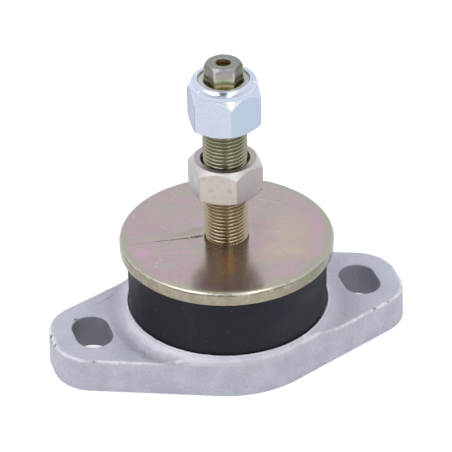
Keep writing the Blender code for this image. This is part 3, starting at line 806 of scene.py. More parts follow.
# Painted light: the rim is painted lighter towards the front
rim_tone = tint(remap(to_front, 0.55, 0.9), rim_tone, (0.345, 0.308, 0.235))
rim_mottle = remap(speckle(place, 0.0035, 4.0, 0.65), 0.35, 0.65, -0.28, 0.28)
rim_tone = tint(larger(rim_mottle, 0.0), rim_tone, (0.50, 0.47, 0.38))
rim_tone = tint(larger(times(rim_mottle, -1.0), 0.0), rim_tone, (0.22, 0.19, 0.13))
color = tint(rim_side, color, rim_tone)
# Painted highlight along the plate's rounded upper edge, strongest towards the front
fine_wander = shaken(ring, place, 0.0022, 0.0011, 4.0)
painted_edge_highlight = times(remap(fine_wander, 0.03835, 0.03868), remap(fine_wander, 0.03908, 0.03884))
painted_edge_highlight = times(painted_edge_highlight, remap(to_front, 0.15, 0.85, 0.18, 0.80))
painted_edge_highlight = times(painted_edge_highlight, remap(speckle(place, 0.0030), 0.30, 0.52, 0.45, 1.0))
color = tint(painted_edge_highlight, color, (0.64, 0.61, 0.55))
STREAKS = [  # centre x, y, half length, half width (mm), turn (degrees), share, raggedness
    (-11.0, 1.2, 3.6, 1.20, 180.0, 0.90, 1.1), (-16.5, 1.55, 6.5, 0.50, 172.0, 0.75, 1.0),
    (-23.0, 2.5, 5.5, 0.32, 173.0, 0.75, 0.7), (-32.0, 3.6, 7.0, 0.30, 172.0, 0.25, 0.4),
]
for x, y, length, width, turn, share, ragged in STREAKS:
    mark = spot(place, (x, y, PLATE_LEVEL), (length, width, MARK_DEPTH), turn, ragged, 0.0010)
    color = tint(times(mark, share), color, (0.10, 0.080, 0.055))
SCRATCHES = [  # centre x, y, half length, half width (mm), turn (degrees)
    (-20.7, 10.8, 2.2, 0.26, -57.0), (-29.6, -10.4, 1.7, 0.30, 38.0), (-30.6, -12.6, 1.1, 0.32, -35.0),
    (-27.6, -9.0, 1.2, 0.24, -60.0), (19.0, 17.2, 2.6, 0.20, -33.0), (23.3, 13.6, 2.8, 0.20, -50.0),
    (14.5, 20.5, 2.5, 0.18, -25.0), (16.0, 12.6, 2.0, 0.16, -30.0), (18.4, -5.3, 0.9, 0.45, 10.0),
    (26.5, 24.0, 2.0, 0.18, -30.0), (-29.0, 21.5, 2.2, 0.16, 65.0), (22.0, 3.5, 1.6, 0.15, 10.0),
    (-12.0, 29.0, 2.4, 0.15, 35.0),
]
scratched = None
for x, y, length, width, turn in SCRATCHES:
    mark = spot(place, (x, y, PLATE_LEVEL), (length, width, MARK_DEPTH), turn, 0.55, 0.0006)
    scratched = mark if scratched is None else larger(scratched, mark)
color = tint(times(scratched, 0.65), color, (0.64, 0.65, 0.68))
dots = remap(speckle(place, 0.0008, 2.0), 0.70, 0.77, 0.0, 0.7)
color = tint(times(dots, 0.40), color, (0.60, 0.58, 0.50))
foot_ring = times(remap(ring, 0.0090, 0.0087), 0.60)
color = tint(foot_ring, color, (0.54, 0.48, 0.38))
dulled = larger(scratched, dots)
tree.links.new(remap(dulled, 0.0, 1.0, 0.95, 0.55), shader.inputs["Metallic"])
tree.links.new(color, shader.inputs["Base Color"])
rough = remap(film.outputs["Cloud"], 0.35, 0.65, 0.14, 0.20)
rough = plus(rough, times(larger(dulled, painted_edge_highlight), 0.25))
tree.links.new(rough, shader.inputs["Roughness"])
relief = minus(film.outputs["Grain"], times(scratched, 2.0))
raise_relief(shader, relief, 0.000012)
plate.data.materials.append(plate_finish)
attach(plate, "sprung_top")
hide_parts("top_plate")

# Threaded hub
# A round weld nut under the plate, which gives the stud a long thread. The rubber hides
# it, so its solid is kept as it is, with the finish of plain turned steel.
hub_finish, tree, shader = new_material("turned_steel", 0.9)
place = object_place(tree)
rings = add_node(tree, "ShaderNodeTexWave", {"Vector": place, "Scale": 900.0, "Distortion": 1.5,
                                             "Detail": 2.0}, wave_type="BANDS",
                 bands_direction="Z").outputs["Fac"]
color = tint(rings, (0.28, 0.28, 0.30), (0.36, 0.36, 0.38))
tree.links.new(color, shader.inputs["Base Color"])
tree.links.new(remap(rings, 0.0, 1.0, 0.38, 0.50), shader.inputs["Roughness"])
raise_relief(shader, rings, 0.00001)
hub_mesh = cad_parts["threaded_hub"].data
hub_mesh.materials.clear()
hub_mesh.materials.append(hub_finish)

# Adjusting stud
# An M16 stud with a rolled thread of 1.5 mm pitch, chromated to an olive gold. Its foot has
# a flange that stops the rebound, and its top a small hexagon with a drilled centre.
STUD_RADIUS = 8.0 * MM
THREAD_ROOT = 7.1 * MM
THREAD_PITCH = 1.5 * MM
THREAD_SIDES = 72
THREAD_ROWS = 16
THREAD_LOWER_END = 11.0 * MM
THREAD_UPPER_END = 108.9 * MM
THREAD_RUN_OUT = 2.2 * MM
THREAD_END_SLOPE = 1.1
FLANGE_RADIUS = 19.0 * MM
FLANGE_BOTTOM = 4.0 * MM
FLANGE_TOP = 6.8 * MM
FLANGE_EDGE = 0.5 * MM
STUD_FILLET = 1.0 * MM
STUD_TOP = 116.9 * MM
HEXAGON_APOTHEM = 6.0 * MM
HEXAGON_CORNER = 6.86 * MM
HEXAGON_TURN = math.radians(-105.0)
HEXAGON_CROWN = 5.40 * MM
HEXAGON_SLOPE = math.tan(math.radians(27.0))
HEXAGON_CORNER_DROP = 0.55 * MM
CENTRE_HOLE_RADIUS = 2.65 * MM
CENTRE_HOLE_DEPTH = 5.0 * MM


def build_thread_tree():
    """A node tree that winds one thread round the Z axis between two heights."""
    tree = bpy.data.node_groups.new("wind_thread", "GeometryNodeTree")
    sizes = [("Pitch", "Float", THREAD_PITCH), ("Crest Radius", "Float", STUD_RADIUS),
             ("Root Radius", "Float", THREAD_ROOT), ("Lower End", "Float", THREAD_LOWER_END),
             ("Upper End", "Float", THREAD_UPPER_END), ("Run Out", "Float", THREAD_RUN_OUT),
             ("End Slope", "Float", THREAD_END_SLOPE), ("Sides", "Int", THREAD_SIDES),
             ("Rows", "Int", THREAD_ROWS)]
    tree.interface.new_socket("Geometry", in_out="INPUT", socket_type="NodeSocketGeometry")
    for label, kind, value in sizes:
        socket = tree.interface.new_socket(label, in_out="INPUT", socket_type="NodeSocket" + kind)
        socket.default_value = value
    tree.interface.new_socket("Material", in_out="INPUT", socket_type="NodeSocketMaterial")
    tree.interface.new_socket("Geometry", in_out="OUTPUT", socket_type="NodeSocketGeometry")
    given = tree.nodes.new("NodeGroupInput").outputs
    height = minus(given["Upper End"], given["Lower End"])
    turns = plus(calculate("CEIL", calculate("DIVIDE", height, given["Pitch"])), 1.0)
    steps = times(turns, given["Sides"])
    strip = add_node(tree, "GeometryNodeMeshGrid",
                     {"Size X": 1.0, "Size Y": 1.0, "Vertices X": plus(steps, 1.0),
                      "Vertices Y": plus(given["Rows"], 1.0)})
    flat = add_node(tree, "ShaderNodeSeparateXYZ",
                    {0: tree.nodes.new("GeometryNodeInputPosition").outputs[0]})
    turned_by = times(plus(flat.outputs[0], 0.5), turns)
    up = plus(flat.outputs[1], 0.5)
    climb = times(minus(plus(turned_by, up), 1.0), given["Pitch"])
    raw = plus(climb, given["Lower End"])
    z = calculate("MINIMUM", larger(raw, given["Lower End"]), given["Upper End"])
    ridge = calculate("ABSOLUTE", minus(times(up, 2.0), 1.0))
    ridge = remap(ridge, 0.20, 0.90, curve="LINEAR")
    depth = times(minus(1.0, ridge), minus(given["Crest Radius"], given["Root Radius"]))
    from_end = minus(z, given["Lower End"])
    depth = times(depth, remap(from_end, 0.0, given["Run Out"]))
    radius = minus(given["Crest Radius"], depth)
    limit = plus(given["Root Radius"], times(minus(given["Upper End"], z), given["End Slope"]))
    radius = calculate("MINIMUM", radius, limit)
    angle = times(turned_by, math.tau)
    wound = add_node(tree, "ShaderNodeCombineXYZ",
                     {0: times(radius, calculate("COSINE", angle)),
                      1: times(radius, calculate("SINE", angle)), 2: z})
    placed = add_node(tree, "GeometryNodeSetPosition",
                      {"Geometry": strip.outputs["Mesh"], "Position": wound.outputs[0]})
    merged = add_node(tree, "GeometryNodeMergeByDistance",
                      {"Geometry": placed.outputs[0], "Distance": 0.004 * MM})
    real = add_node(tree, "GeometryNodeRealizeInstances", {"Geometry": merged.outputs[0]})
    coated = add_node(tree, "GeometryNodeSetMaterial",
                      {"Geometry": real.outputs[0], "Material": given["Material"]})
    out = tree.nodes.new("NodeGroupOutput")
    tree.links.new(coated.outputs[0], out.inputs["Geometry"])
    return tree


def wind_thread(name, material, sizes):
    """A plain mesh of a thread, from the node tree with its sizes set by socket identifier."""
    piece = new_piece(name, bpy.data.meshes.new(name))
    modifier = piece.modifiers.new("thread", "NODES")
    modifier.node_group = build_thread_tree()
    for item in modifier.node_group.interface.items_tree:
        if item.in_out == "INPUT" and item.name in sizes:
            modifier[item.identifier] = sizes[item.name]
        elif item.in_out == "INPUT" and item.name == "Material":
            modifier[item.identifier] = material
    settle_modifiers(piece)
    return piece


def stud_foot():
    """The stud below its thread: a plain shank, a fillet and the flange."""
    section = [(STUD_RADIUS, THREAD_LOWER_END)]
    section += arc(STUD_RADIUS + STUD_FILLET, FLANGE_TOP + STUD_FILLET, STUD_FILLET, STUD_FILLET,
                   180.0, 270.0, 6)
    e = FLANGE_EDGE
    section += arc(FLANGE_RADIUS - e, FLANGE_TOP - e, e, e, 90.0, 0.0, 4)
    section += arc(FLANGE_RADIUS - e, FLANGE_BOTTOM + e, e, e, 0.0, -90.0, 4)
    section += [(0.0, FLANGE_BOTTOM)]
    return section


def hexagon_end_section(local):
    """The drilled hexagon end's section, from the thread's last circle to the hole's bottom."""
    reach = min(HEXAGON_APOTHEM / math.cos(local), HEXAGON_CORNER)
    crown, hole, e = HEXAGON_CROWN, CENTRE_HOLE_RADIUS, 0.08 * MM
    to_corner = (reach - HEXAGON_APOTHEM) / (HEXAGON_CORNER - HEXAGON_APOTHEM)
    ridge = STUD_TOP - (reach - crown) * HEXAGON_SLOPE - HEXAGON_CORNER_DROP * to_corner ** 1.5
    return [(reach, THREAD_UPPER_END), (reach, THREAD_UPPER_END + 0.5 * MM), (reach, ridge - e),
            (reach - 0.25 * e, ridge - 0.2 * e), (reach - e, ridge + e * HEXAGON_SLOPE),
            (crown + e, STUD_TOP - e * HEXAGON_SLOPE), (crown + 0.2 * e, STUD_TOP - 0.1 * e),
            (crown - 0.8 * e, STUD_TOP), (hole + 0.45 * MM, STUD_TOP),
            (hole + 0.28 * MM, STUD_TOP - 0.02 * MM), (hole + 0.05 * MM, STUD_TOP - 0.2 * MM),
            (hole, STUD_TOP - 0.4 * MM), (hole, STUD_TOP - CENTRE_HOLE_DEPTH),
            (0.0, STUD_TOP - CENTRE_HOLE_DEPTH - hole * 0.6)]


def join_stud(thread):
    """Sew the thread, the foot and the hexagon end into one closed skin."""
    angles = [math.tau * step / THREAD_SIDES for step in range(THREAD_SIDES)]
    corner_half = math.degrees(math.pi / 6 - math.acos(HEXAGON_APOTHEM / HEXAGON_CORNER))
    per_face = THREAD_SIDES // 6
    locals_ = [(60.0 - 2 * corner_half) * (i / (per_face - 1) - 0.5) for i in range(per_face)]
    locals_ = [math.radians(local) for local in locals_]
    turns = [HEXAGON_TURN + face * math.pi / 3 for face in range(6)]
    skin = bmesh.new()
    skin.from_mesh(thread.data)
    skin.from_mesh(loft("stud_foot", angles, [stud_foot()] * THREAD_SIDES))
    skin.from_mesh(loft("stud_end", [turn + local for turn in turns for local in locals_],
                        [hexagon_end_section(local) for _ in turns for local in locals_]))
    seam = [v for v in {v for e in skin.edges if len(e.link_faces) == 1 for v in e.verts}
            if abs(v.co.z - THREAD_UPPER_END) < 0.01 * MM]
    rings = {True: [], False: []}
    for vertex in seam:
        on_thread = any(f.calc_center_median().z < THREAD_UPPER_END for f in vertex.link_faces)
        rings[on_thread].append((math.atan2(vertex.co.y, vertex.co.x) % math.tau, vertex))
    inner, outer = ([v for _, v in sorted(rings[key], key=lambda item: item[0])]
                    for key in (False, True))
    start = min(range(len(inner)), key=lambda i: (inner[i].co.xy.normalized()
                                                  - outer[0].co.xy.normalized()).length)
    inner = inner[start:] + inner[:start]
    for i in range(THREAD_SIDES):
        j = (i + 1) % THREAD_SIDES
        skin.faces.new((outer[i], outer[j], inner[j], inner[i]))
    bmesh.ops.remove_doubles(skin, verts=skin.verts, dist=0.004 * MM)
    bmesh.ops.dissolve_degenerate(skin, dist=0.001 * MM, edges=skin.edges)
    bmesh.ops.recalc_face_normals(skin, faces=skin.faces)
    skin.to_mesh(thread.data)
    skin.free()
    smooth(thread.data, 58.0)
    thread.data.materials.clear()
    thread.data.polygons.foreach_set("material_index", [0] * len(thread.data.polygons))


def face_mask(place, turn, apothem):
    """1 on the flat of a hexagon that faces a direction, and 0 elsewhere; turn is in degrees."""
    turn = math.radians(turn)
    reach = component(place, (math.cos(turn), math.sin(turn), 0.0))
    return remap(reach, apothem - 0.35 * MM, apothem - 0.08 * MM)


stud_finish, tree, shader = new_material("stud_yellow_chromate", 1.0)
shader.inputs["Specular Tint"].default_value = (0.56, 0.72, 0.50, 1.0)
place = object_place(tree)
rise = axis_parts(place)[2]
ring = radial_distance(place)
upper_part = remap(rise, 0.064, 0.072)
film = fill_group(film_group, {"Place": place, "Drift Size": 0.010, "Drift": 0.8,
                               "Main": tint(upper_part, (0.395, 0.312, 0.195), (0.295, 0.305, 0.190)),
                               "Warm": tint(upper_part, (0.425, 0.312, 0.200), (0.320, 0.300, 0.195)),
                               "Cool": tint(upper_part, (0.350, 0.322, 0.185), (0.262, 0.310, 0.190))})
# Painted highlight on the thread's crests
crest_highlight_tone = tint(upper_part, (0.500, 0.412, 0.312), (0.430, 0.388, 0.298))
crest_highlight = times(remap(ring, 0.00725, 0.00800), remap(rise, 0.0100, 0.0115))
color = tint(crest_highlight, film.outputs["Color"], crest_highlight_tone)
on_end = remap(rise, 0.1088, 0.1094)
foot_tone = tint(remap(rise, 0.1096, 0.1120), (0.870, 0.745, 0.450), (0.440, 0.470, 0.280))
end_tone = tint(remap(rise, 0.1124, 0.1138), foot_tone, (0.335, 0.305, 0.285))
bevelled = remap(rise, 0.1148, 0.1160)
end_tone = tint(bevelled, end_tone, (0.330, 0.330, 0.345))
# The hexagon end's two side faces are painted darker, as painted shade
for turn, share, over in ((-45.0, 0.80, (0.190, 0.160, 0.145)), (-165.0, 0.75, (0.225, 0.200, 0.180))):
    side = face_mask(place, turn, HEXAGON_APOTHEM)
    end_tone = tint(times(side, share), end_tone, over)
green_patch = spot(place, (-1.9, -5.8, 112.8), (2.2, 2.2, 1.8), 0.0, 0.5, 0.0015, 0.1)
end_tone = tint(times(green_patch, 0.8), end_tone, (0.260, 0.360, 0.230))
# Lighter hexagon corners: partly wear, partly a painted highlight
corner_wear_and_highlight = times(remap(ring, 0.00660, 0.00676), remap(rise, 0.1100, 0.1125))
end_tone = tint(times(corner_wear_and_highlight, 0.8), end_tone, (0.520, 0.500, 0.490))
on_top = remap(rise, 0.11675, 0.11688)
top_tone = tint(remap(ring, 0.0047, 0.0031), (0.355, 0.325, 0.348), (0.315, 0.350, 0.312))
end_tone = tint(on_top, end_tone, top_tone)
drilled = times(remap(ring, 0.00275, 0.00265), remap(rise, 0.1169, 0.1166))
end_tone = tint(drilled, end_tone, (0.450, 0.350, 0.190))
color = tint(on_end, color, end_tone)
tree.links.new(color, shader.inputs["Base Color"])
bevel_dull = times(minus(bevelled, on_top), 0.22)
tree.links.new(plus(remap(film.outputs["Cloud"], 0.3, 0.7, 0.20, 0.30), bevel_dull),
               shader.inputs["Roughness"])
raise_relief(shader, film.outputs["Grain"], 0.000008)
stud = wind_thread("adjusting_stud_threaded", stud_finish,
                   {"Sides": THREAD_SIDES, "Rows": THREAD_ROWS, "Lower End": THREAD_LOWER_END})
join_stud(stud)
stud.data.materials.append(stud_finish)
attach(stud, "sprung_top")
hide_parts("adjusting_stud")

# Rebound buffer
# A rubber ring that lies on the stud's flange. It meets the bond ring softly when the
# engine lifts.
BUFFER_BORE = 9.3 * MM
BUFFER_RADIUS = 18.2 * MM
BUFFER_BOTTOM = 7.1 * MM
BUFFER_TOP = 9.6 * MM
BUFFER_EDGE_ROUND = 0.6 * MM

buffer_ring = turned("rebound_buffer_moulded",
                     ring_profile(BUFFER_BORE, BUFFER_RADIUS, BUFFER_BOTTOM, BUFFER_TOP,
                                  BUFFER_EDGE_ROUND, 4), 120)
grained_finish(buffer_ring, "buffer_rubber_moulded", 0.0, 0.4,
               {"Grain Size": 0.0005, "Mottle Size": 0.005, "Light": (0.036, 0.036, 0.040),
                "Dark": (0.022, 0.022, 0.025), "Grain Contrast": 0.4}, (0.55, 0.68), 0.00004)
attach(buffer_ring, "sprung_top")
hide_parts("rebound_buffer")

# Adjusting nut
# A plain M16 nut, 24 mm across its flats, which sets the height of the engine's foot. It
# is forged, chamfered at both faces and thinly chromated, so it looks warm and satin.
NUT_APOTHEM = 12.0 * MM
NUT_EDGE_ROUND = 0.45 * MM
NUT_FACE_RADIUS = 11.4 * MM
NUT_CHAMFER = math.tan(math.radians(30.0))
NUT_TOP_RADIUS = 11.15 * MM
NUT_TOP_CHAMFER = math.tan(math.radians(43.0))
NUT_FOOT_RADIUS = 11.8 * MM
NUT_BORE = 8.3 * MM
NUT_COUNTERSINK = 0.7 * MM
NUT_FACE_ROUND = 0.12 * MM
ADJUSTING_NUT_BOTTOM = 65.0 * MM
ADJUSTING_NUT_TOP = 78.0 * MM
ADJUSTING_NUT_CORNER = math.radians(90.0)


def hexagon_directions(corner_turn):
    """Directions round a nut, closest at its rounded corners, with each one's reach."""
    spine = (NUT_APOTHEM - NUT_EDGE_ROUND) * 2 / math.sqrt(3.0)
    corner_half = math.atan2(NUT_EDGE_ROUND * 0.5, spine + NUT_EDGE_ROUND * math.cos(math.pi / 6))
    locals_ = [corner_half * share for share in (-1.0, -0.66, -0.33, 0.0, 0.33, 0.66, 1.0)]
    support = 0.35
    flat_start = corner_half + math.radians(support)
    flat_span = math.pi / 3 - 2 * flat_start
    locals_ += [flat_start + flat_span * step / 14 for step in range(15)]
    found = []
    for corner in range(6):
        for local in locals_:
            if abs(local) <= corner_half:
                swing = spine * math.sin(local)
                reach = spine * math.cos(local) + math.sqrt(NUT_EDGE_ROUND ** 2 - swing ** 2)
            else:
                reach = NUT_APOTHEM / math.cos(math.pi / 6 - local)
            found.append((corner_turn + corner * math.pi / 3 + local, reach))
    return found


def chamfered_edge(reach, edge_z, face_radius, slope, side, round_size=0.22 * MM):
    """Section from a nut's flat over the chamfer cone, softened at the ridge between them.

    edge_z is the cone's height at face_radius, and side is 1 at the top and -1 below."""
    ridge = edge_z - side * (reach - face_radius) * slope
    lean = math.atan(slope)
    points = [(reach, ridge - side * 4 * round_size), (reach, ridge - side * 1.1 * round_size)]
    cone = (-math.cos(lean), side * math.sin(lean))
    for share in (0.25, 0.6, 1.0):
        back = (1.0 - share) ** 2 * 1.1 * round_size
        on = share ** 2 * 1.1 * round_size
        points.append((reach + cone[0] * on, ridge - side * back + cone[1] * on))
    return points


def nut_foot(reach, face, low):
    """Section of a nut's chamfered foot, from its flat over the face to the bore."""
    sink, e = NUT_COUNTERSINK, NUT_FACE_ROUND
    section = chamfered_edge(reach, low, face, NUT_CHAMFER, -1)
    return section + [(face + e, low + e * NUT_CHAMFER + 0.3 * e), (face, low + 0.2 * e),
                      (face - e, low), (face - 3 * e, low), (NUT_BORE + sink, low),
                      (NUT_BORE, low + sink)]


def adjusting_nut_section(reach):
    """Section of the plain nut in one direction, from the top countersink round to the bore."""
    low, high = ADJUSTING_NUT_BOTTOM, ADJUSTING_NUT_TOP
    face, sink, e = NUT_TOP_RADIUS, NUT_COUNTERSINK, NUT_FACE_ROUND
    section = [(NUT_BORE, high - sink), (NUT_BORE + sink * 0.5, high - sink * 0.5),
               (NUT_BORE + sink, high), (NUT_BORE + sink + 0.15 * MM, high), (face - 3 * e, high),
               (face - e, high), (face, high - 0.2 * e),
               (face + e, high - e * NUT_TOP_CHAMFER - 0.3 * e)]
    section += list(reversed(chamfered_edge(reach, high, face, NUT_TOP_CHAMFER, 1)))
    section += line((reach, high - 3.5 * MM), (reach, low + 3.5 * MM), 5)
    section += nut_foot(reach, NUT_FOOT_RADIUS, low)
    return section


def hexagon_piece(name, corner_turn, section_of):
    """A nut's skin, lofted through its sections."""
    found = hexagon_directions(corner_turn)
    mesh = loft(name, [angle for angle, _ in found], [section_of(reach) for _, reach in found])
    smooth(mesh, 45.0)
    return new_piece(name, mesh)


adjusting_nut = hexagon_piece("adjusting_nut_forged", ADJUSTING_NUT_CORNER, adjusting_nut_section)
adjusting_finish, tree, shader = new_material("adjusting_nut_chromate", 1.0)
place = object_place(tree)
film = fill_group(film_group, {"Place": place, "Drift Size": 0.013, "Drift": 0.8,
                               "Main": (0.585, 0.545, 0.490), "Warm": (0.590, 0.525, 0.485),
                               "Cool": (0.550, 0.535, 0.465)})
color = film.outputs["Color"]
# Two side faces painted darker, as painted shade, with a green and a mauve tint
for turn, share, over in ((-180.0, 0.85, (0.375, 0.415, 0.400)), (-60.0, 0.85, (0.390, 0.352, 0.362))):
    face = face_mask(place, turn, NUT_APOTHEM)
    color = tint(times(face, share), color, over)
ring = radial_distance(place)
rise = axis_parts(place)[2]
cone = plus(rise, times(ring, NUT_TOP_CHAMFER))
cone_level = ADJUSTING_NUT_TOP + NUT_TOP_RADIUS * NUT_TOP_CHAMFER
# A lighter ring along the top chamfer's rim: partly wear, partly a painted highlight
worn = remap(cone, cone_level - 0.30 * MM, cone_level - 0.08 * MM)
worn = times(worn, remap(speckle(place, 0.0025), 0.25, 0.5, 0.5, 1.0))
color = tint(times(worn, 0.75), color, (0.68, 0.67, 0.65))
eastward = remap(axis_parts(place)[0], -0.008, 0.008)
top_tone = tint(eastward, (0.500, 0.435, 0.465), (0.475, 0.425, 0.375))
color = tint(remap(rise, ADJUSTING_NUT_TOP - 0.10 * MM, ADJUSTING_NUT_TOP - 0.03 * MM), color, top_tone)
NUT_STAINS = [  # centre x, y, z, size (mm), share, colour
    (-8.3, -9.1, 71.0, 1.7, 0.55, (0.36, 0.38, 0.33)),
    (-2.4, -12.5, 71.6, 1.7, 0.55, (0.38, 0.34, 0.24)),
    (-7.6, -9.5, 68.4, 1.6, 0.40, (0.44, 0.38, 0.26)),
    (-4.2, -11.4, 75.0, 1.6, 0.40, (0.44, 0.38, 0.30)),
    (-10.6, -7.7, 75.4, 1.2, 0.45, (0.42, 0.33, 0.30)),
    (-6.0, -10.4, 73.2, 0.9, 0.35, (0.36, 0.36, 0.28)),
    (2.2, -11.8, 71.3, 0.8, 0.55, (0.25, 0.22, 0.22)),
]
for x, y, z, size, share, over in NUT_STAINS:
    mark = spot(place, (x, y, z), (size, size, size * 0.8), 0.0, 0.5, 0.0015, 0.1)
    color = tint(times(mark, share), color, over)
# Painted shade in the countersink round the bore
countersunk = remap(ring, 0.00915, 0.00900)
color = tint(countersunk, color, (0.150, 0.110, 0.075))
tree.links.new(color, shader.inputs["Base Color"])
tree.links.new(plus(remap(film.outputs["Cloud"], 0.3, 0.7, 0.30, 0.42), times(worn, 0.14)),
               shader.inputs["Roughness"])
blotches = times(speckle(place, 0.0022, 3.0), 2.0)
raise_relief(shader, plus(film.outputs["Grain"], blotches), 0.00002)
adjusting_nut.data.materials.append(adjusting_finish)
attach(adjusting_nut, "height_nut")
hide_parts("adjusting_nut")

# Lock nut
# A self-locking M16 nut in bright blue-white zinc. Its round collar is rolled inwards over
# the nylon ring, and it clamps the engine's foot from above.
LOCK_NUT_BOTTOM = 92.5 * MM
LOCK_NUT_SHOULDER = 107.6 * MM
LOCK_NUT_TOP = 110.8 * MM
LOCK_NUT_CORNER = math.radians(-96.2)
COLLAR_RADIUS = 11.95 * MM
COLLAR_WALL = 2.75 * MM
COLLAR_CROWN = 9.65 * MM
COLLAR_ROUND_HEIGHT = 2.7 * MM
COLLAR_LIP = 0.42 * MM
COLLAR_SLOPE = math.tan(math.radians(55.0))
COLLAR_FILLET = 0.6 * MM
INSERT_SEAT = 9.55 * MM
INSERT_FLOOR = 105.5 * MM


def lock_nut_section(reach):
    """Section of the self-locking nut in one direction, from the rolled collar to the bore."""
    low, shoulder, high = LOCK_NUT_BOTTOM, LOCK_NUT_SHOULDER, LOCK_NUT_TOP
    inner = COLLAR_RADIUS - COLLAR_WALL
    section = [(INSERT_SEAT, high - 0.9 * MM), (inner + 0.1 * MM, high - 0.85 * MM)]
    section += arc(COLLAR_CROWN, high - COLLAR_LIP, COLLAR_CROWN - inner, COLLAR_LIP, 180.0, 90.0, 6)
    section += arc(COLLAR_CROWN, high - COLLAR_ROUND_HEIGHT, COLLAR_RADIUS - COLLAR_CROWN,
                   COLLAR_ROUND_HEIGHT, 90.0, 0.0, 12)[1:]
    fall = COLLAR_SLOPE
    lean = math.atan(fall)
    for share in (0.25, 0.5, 0.75, 1.0):
        back = (1.0 - share) ** 2 * COLLAR_FILLET
        on = min(share ** 2 * COLLAR_FILLET, max(0.0, reach - COLLAR_RADIUS - 0.10 * MM))
        section.append((COLLAR_RADIUS + on * math.cos(lean), shoulder + back - on * math.sin(lean)))
    section += list(reversed(chamfered_edge(reach, shoulder, COLLAR_RADIUS, fall, 1, 0.26 * MM)))
    section += line((reach, shoulder - 5.4 * MM), (reach, low + 3.5 * MM), 6)
    section += nut_foot(reach, NUT_FACE_RADIUS, low)
    section += [(NUT_BORE, INSERT_FLOOR), (INSERT_SEAT, INSERT_FLOOR)]
    return section


lock_nut = hexagon_piece("lock_nut_forged", LOCK_NUT_CORNER, lock_nut_section)
lock_finish, tree, shader = new_material("lock_nut_bright_zinc", 1.0)
shader.inputs["Specular Tint"].default_value = (0.78, 0.80, 0.90, 1.0)
place = object_place(tree)
film = fill_group(film_group, {"Place": place, "Drift Size": 0.014, "Drift": 0.6,
                               "Main": (0.560, 0.620, 0.725), "Warm": (0.575, 0.605, 0.700),
                               "Cool": (0.530, 0.610, 0.725)})
worn = remap(speckle(place, 0.0013, 3.0), 0.62, 0.75)
color = tint(times(worn, 0.25), film.outputs["Color"], (0.42, 0.45, 0.50))
# Two side faces painted darker, as painted shade
for turn, share, over in ((-186.2, 0.9, (0.350, 0.370, 0.480)), (-66.2, 0.9, (0.450, 0.530, 0.660))):
    face = face_mask(place, turn, NUT_APOTHEM)
    color = tint(times(face, share), color, over)
ring = radial_distance(place)
rise = axis_parts(place)[2]
cone = plus(rise, times(ring, COLLAR_SLOPE))
cone_level = LOCK_NUT_SHOULDER + COLLAR_RADIUS * COLLAR_SLOPE
above = larger(remap(cone, cone_level - 0.35 * MM, cone_level - 0.10 * MM),
               remap(rise, LOCK_NUT_SHOULDER + 0.1 * MM, LOCK_NUT_SHOULDER + 0.3 * MM))
color = tint(above, color, (0.700, 0.760, 0.880))
shoulder = times(above, remap(rise, LOCK_NUT_SHOULDER + 0.5 * MM, LOCK_NUT_SHOULDER - 0.2 * MM))
color = tint(times(shoulder, 0.8), color, (0.73, 0.79, 0.91))
eastern = remap(axis_parts(place)[0], 0.006, 0.010)
eastern = times(times(above, eastern), 0.5)
color = tint(eastern, color, (0.600, 0.665, 0.790))
# Painted shade: a darker line in the crease where the collar meets the chamfer
collar_foot = calculate("ABSOLUTE", minus(rise, LOCK_NUT_SHOULDER + 0.5 * MM))
collar_foot = times(above, remap(collar_foot, 1.00 * MM, 0.10 * MM, 0.0, 0.50))
color = tint(collar_foot, color, (0.42, 0.51, 0.70))
# Painted highlights: a white patch on the front corner's chamfer and small glints on the collar
painted_highlights = times(shoulder, spot(place, (-1.4, -12.9, 106.0), (6.0, 3.5, 5.0), 0.0, 0.2, 0.003))
COLLAR_GLINTS = [  # centre x, y, z, half length, half width (mm), turn (degrees)
    (-8.1, 6.3, 110.7, 1.3, 0.40, 70.0), (-10.6, -4.7, 109.7, 0.7, 0.35, -30.0),
    (9.3, -5.6, 110.1, 1.2, 0.45, 20.0), (-6.6, 7.9, 110.7, 0.8, 0.35, 80.0),
]
for x, y, z, length, width, turn in COLLAR_GLINTS:
    mark = spot(place, (x, y, z), (length, width, 0.9), turn, 0.5, 0.0008)
    painted_highlights = larger(painted_highlights, mark)
color = tint(painted_highlights, color, (0.95, 0.97, 1.0))
metal_share = times(remap(shoulder, 0.0, 1.0, 1.0, 1.12),
                    remap(rise, LOCK_NUT_TOP - 1.5 * MM, LOCK_NUT_TOP - 0.2 * MM, 0.62, 1.0))
metal_share = tint(above, (1.0, 1.0, 1.0), metal_share)
metal_share = minus(metal_share, times(painted_highlights, 0.30))
tree.links.new(metal_share, shader.inputs["Metallic"])
tree.links.new(color, shader.inputs["Base Color"])
tree.links.new(remap(film.outputs["Cloud"], 0.3, 0.7, 0.16, 0.26), shader.inputs["Roughness"])
raise_relief(shader, film.outputs["Grain"], 0.00001)
lock_nut.data.materials.append(lock_finish)
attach(lock_nut, "locking_nut")
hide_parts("lock_nut")

# Nylon insert
# A ring of natural nylon held under the rolled collar. The thread bites into its bore,
# which grips the stud.
INSERT_RADIUS = 9.42 * MM
INSERT_GRIP = 7.15 * MM
INSERT_TOP = 109.8 * MM
INSERT_BOTTOM = 105.8 * MM
INSERT_BORE = 8.12 * MM
INSERT_LIP_BOTTOM = 108.4 * MM
INSERT_LIP_EDGE = 108.8 * MM
INSERT_LIP_ROUND = 0.35 * MM
INSERT_EDGE_ROUND = 0.25 * MM

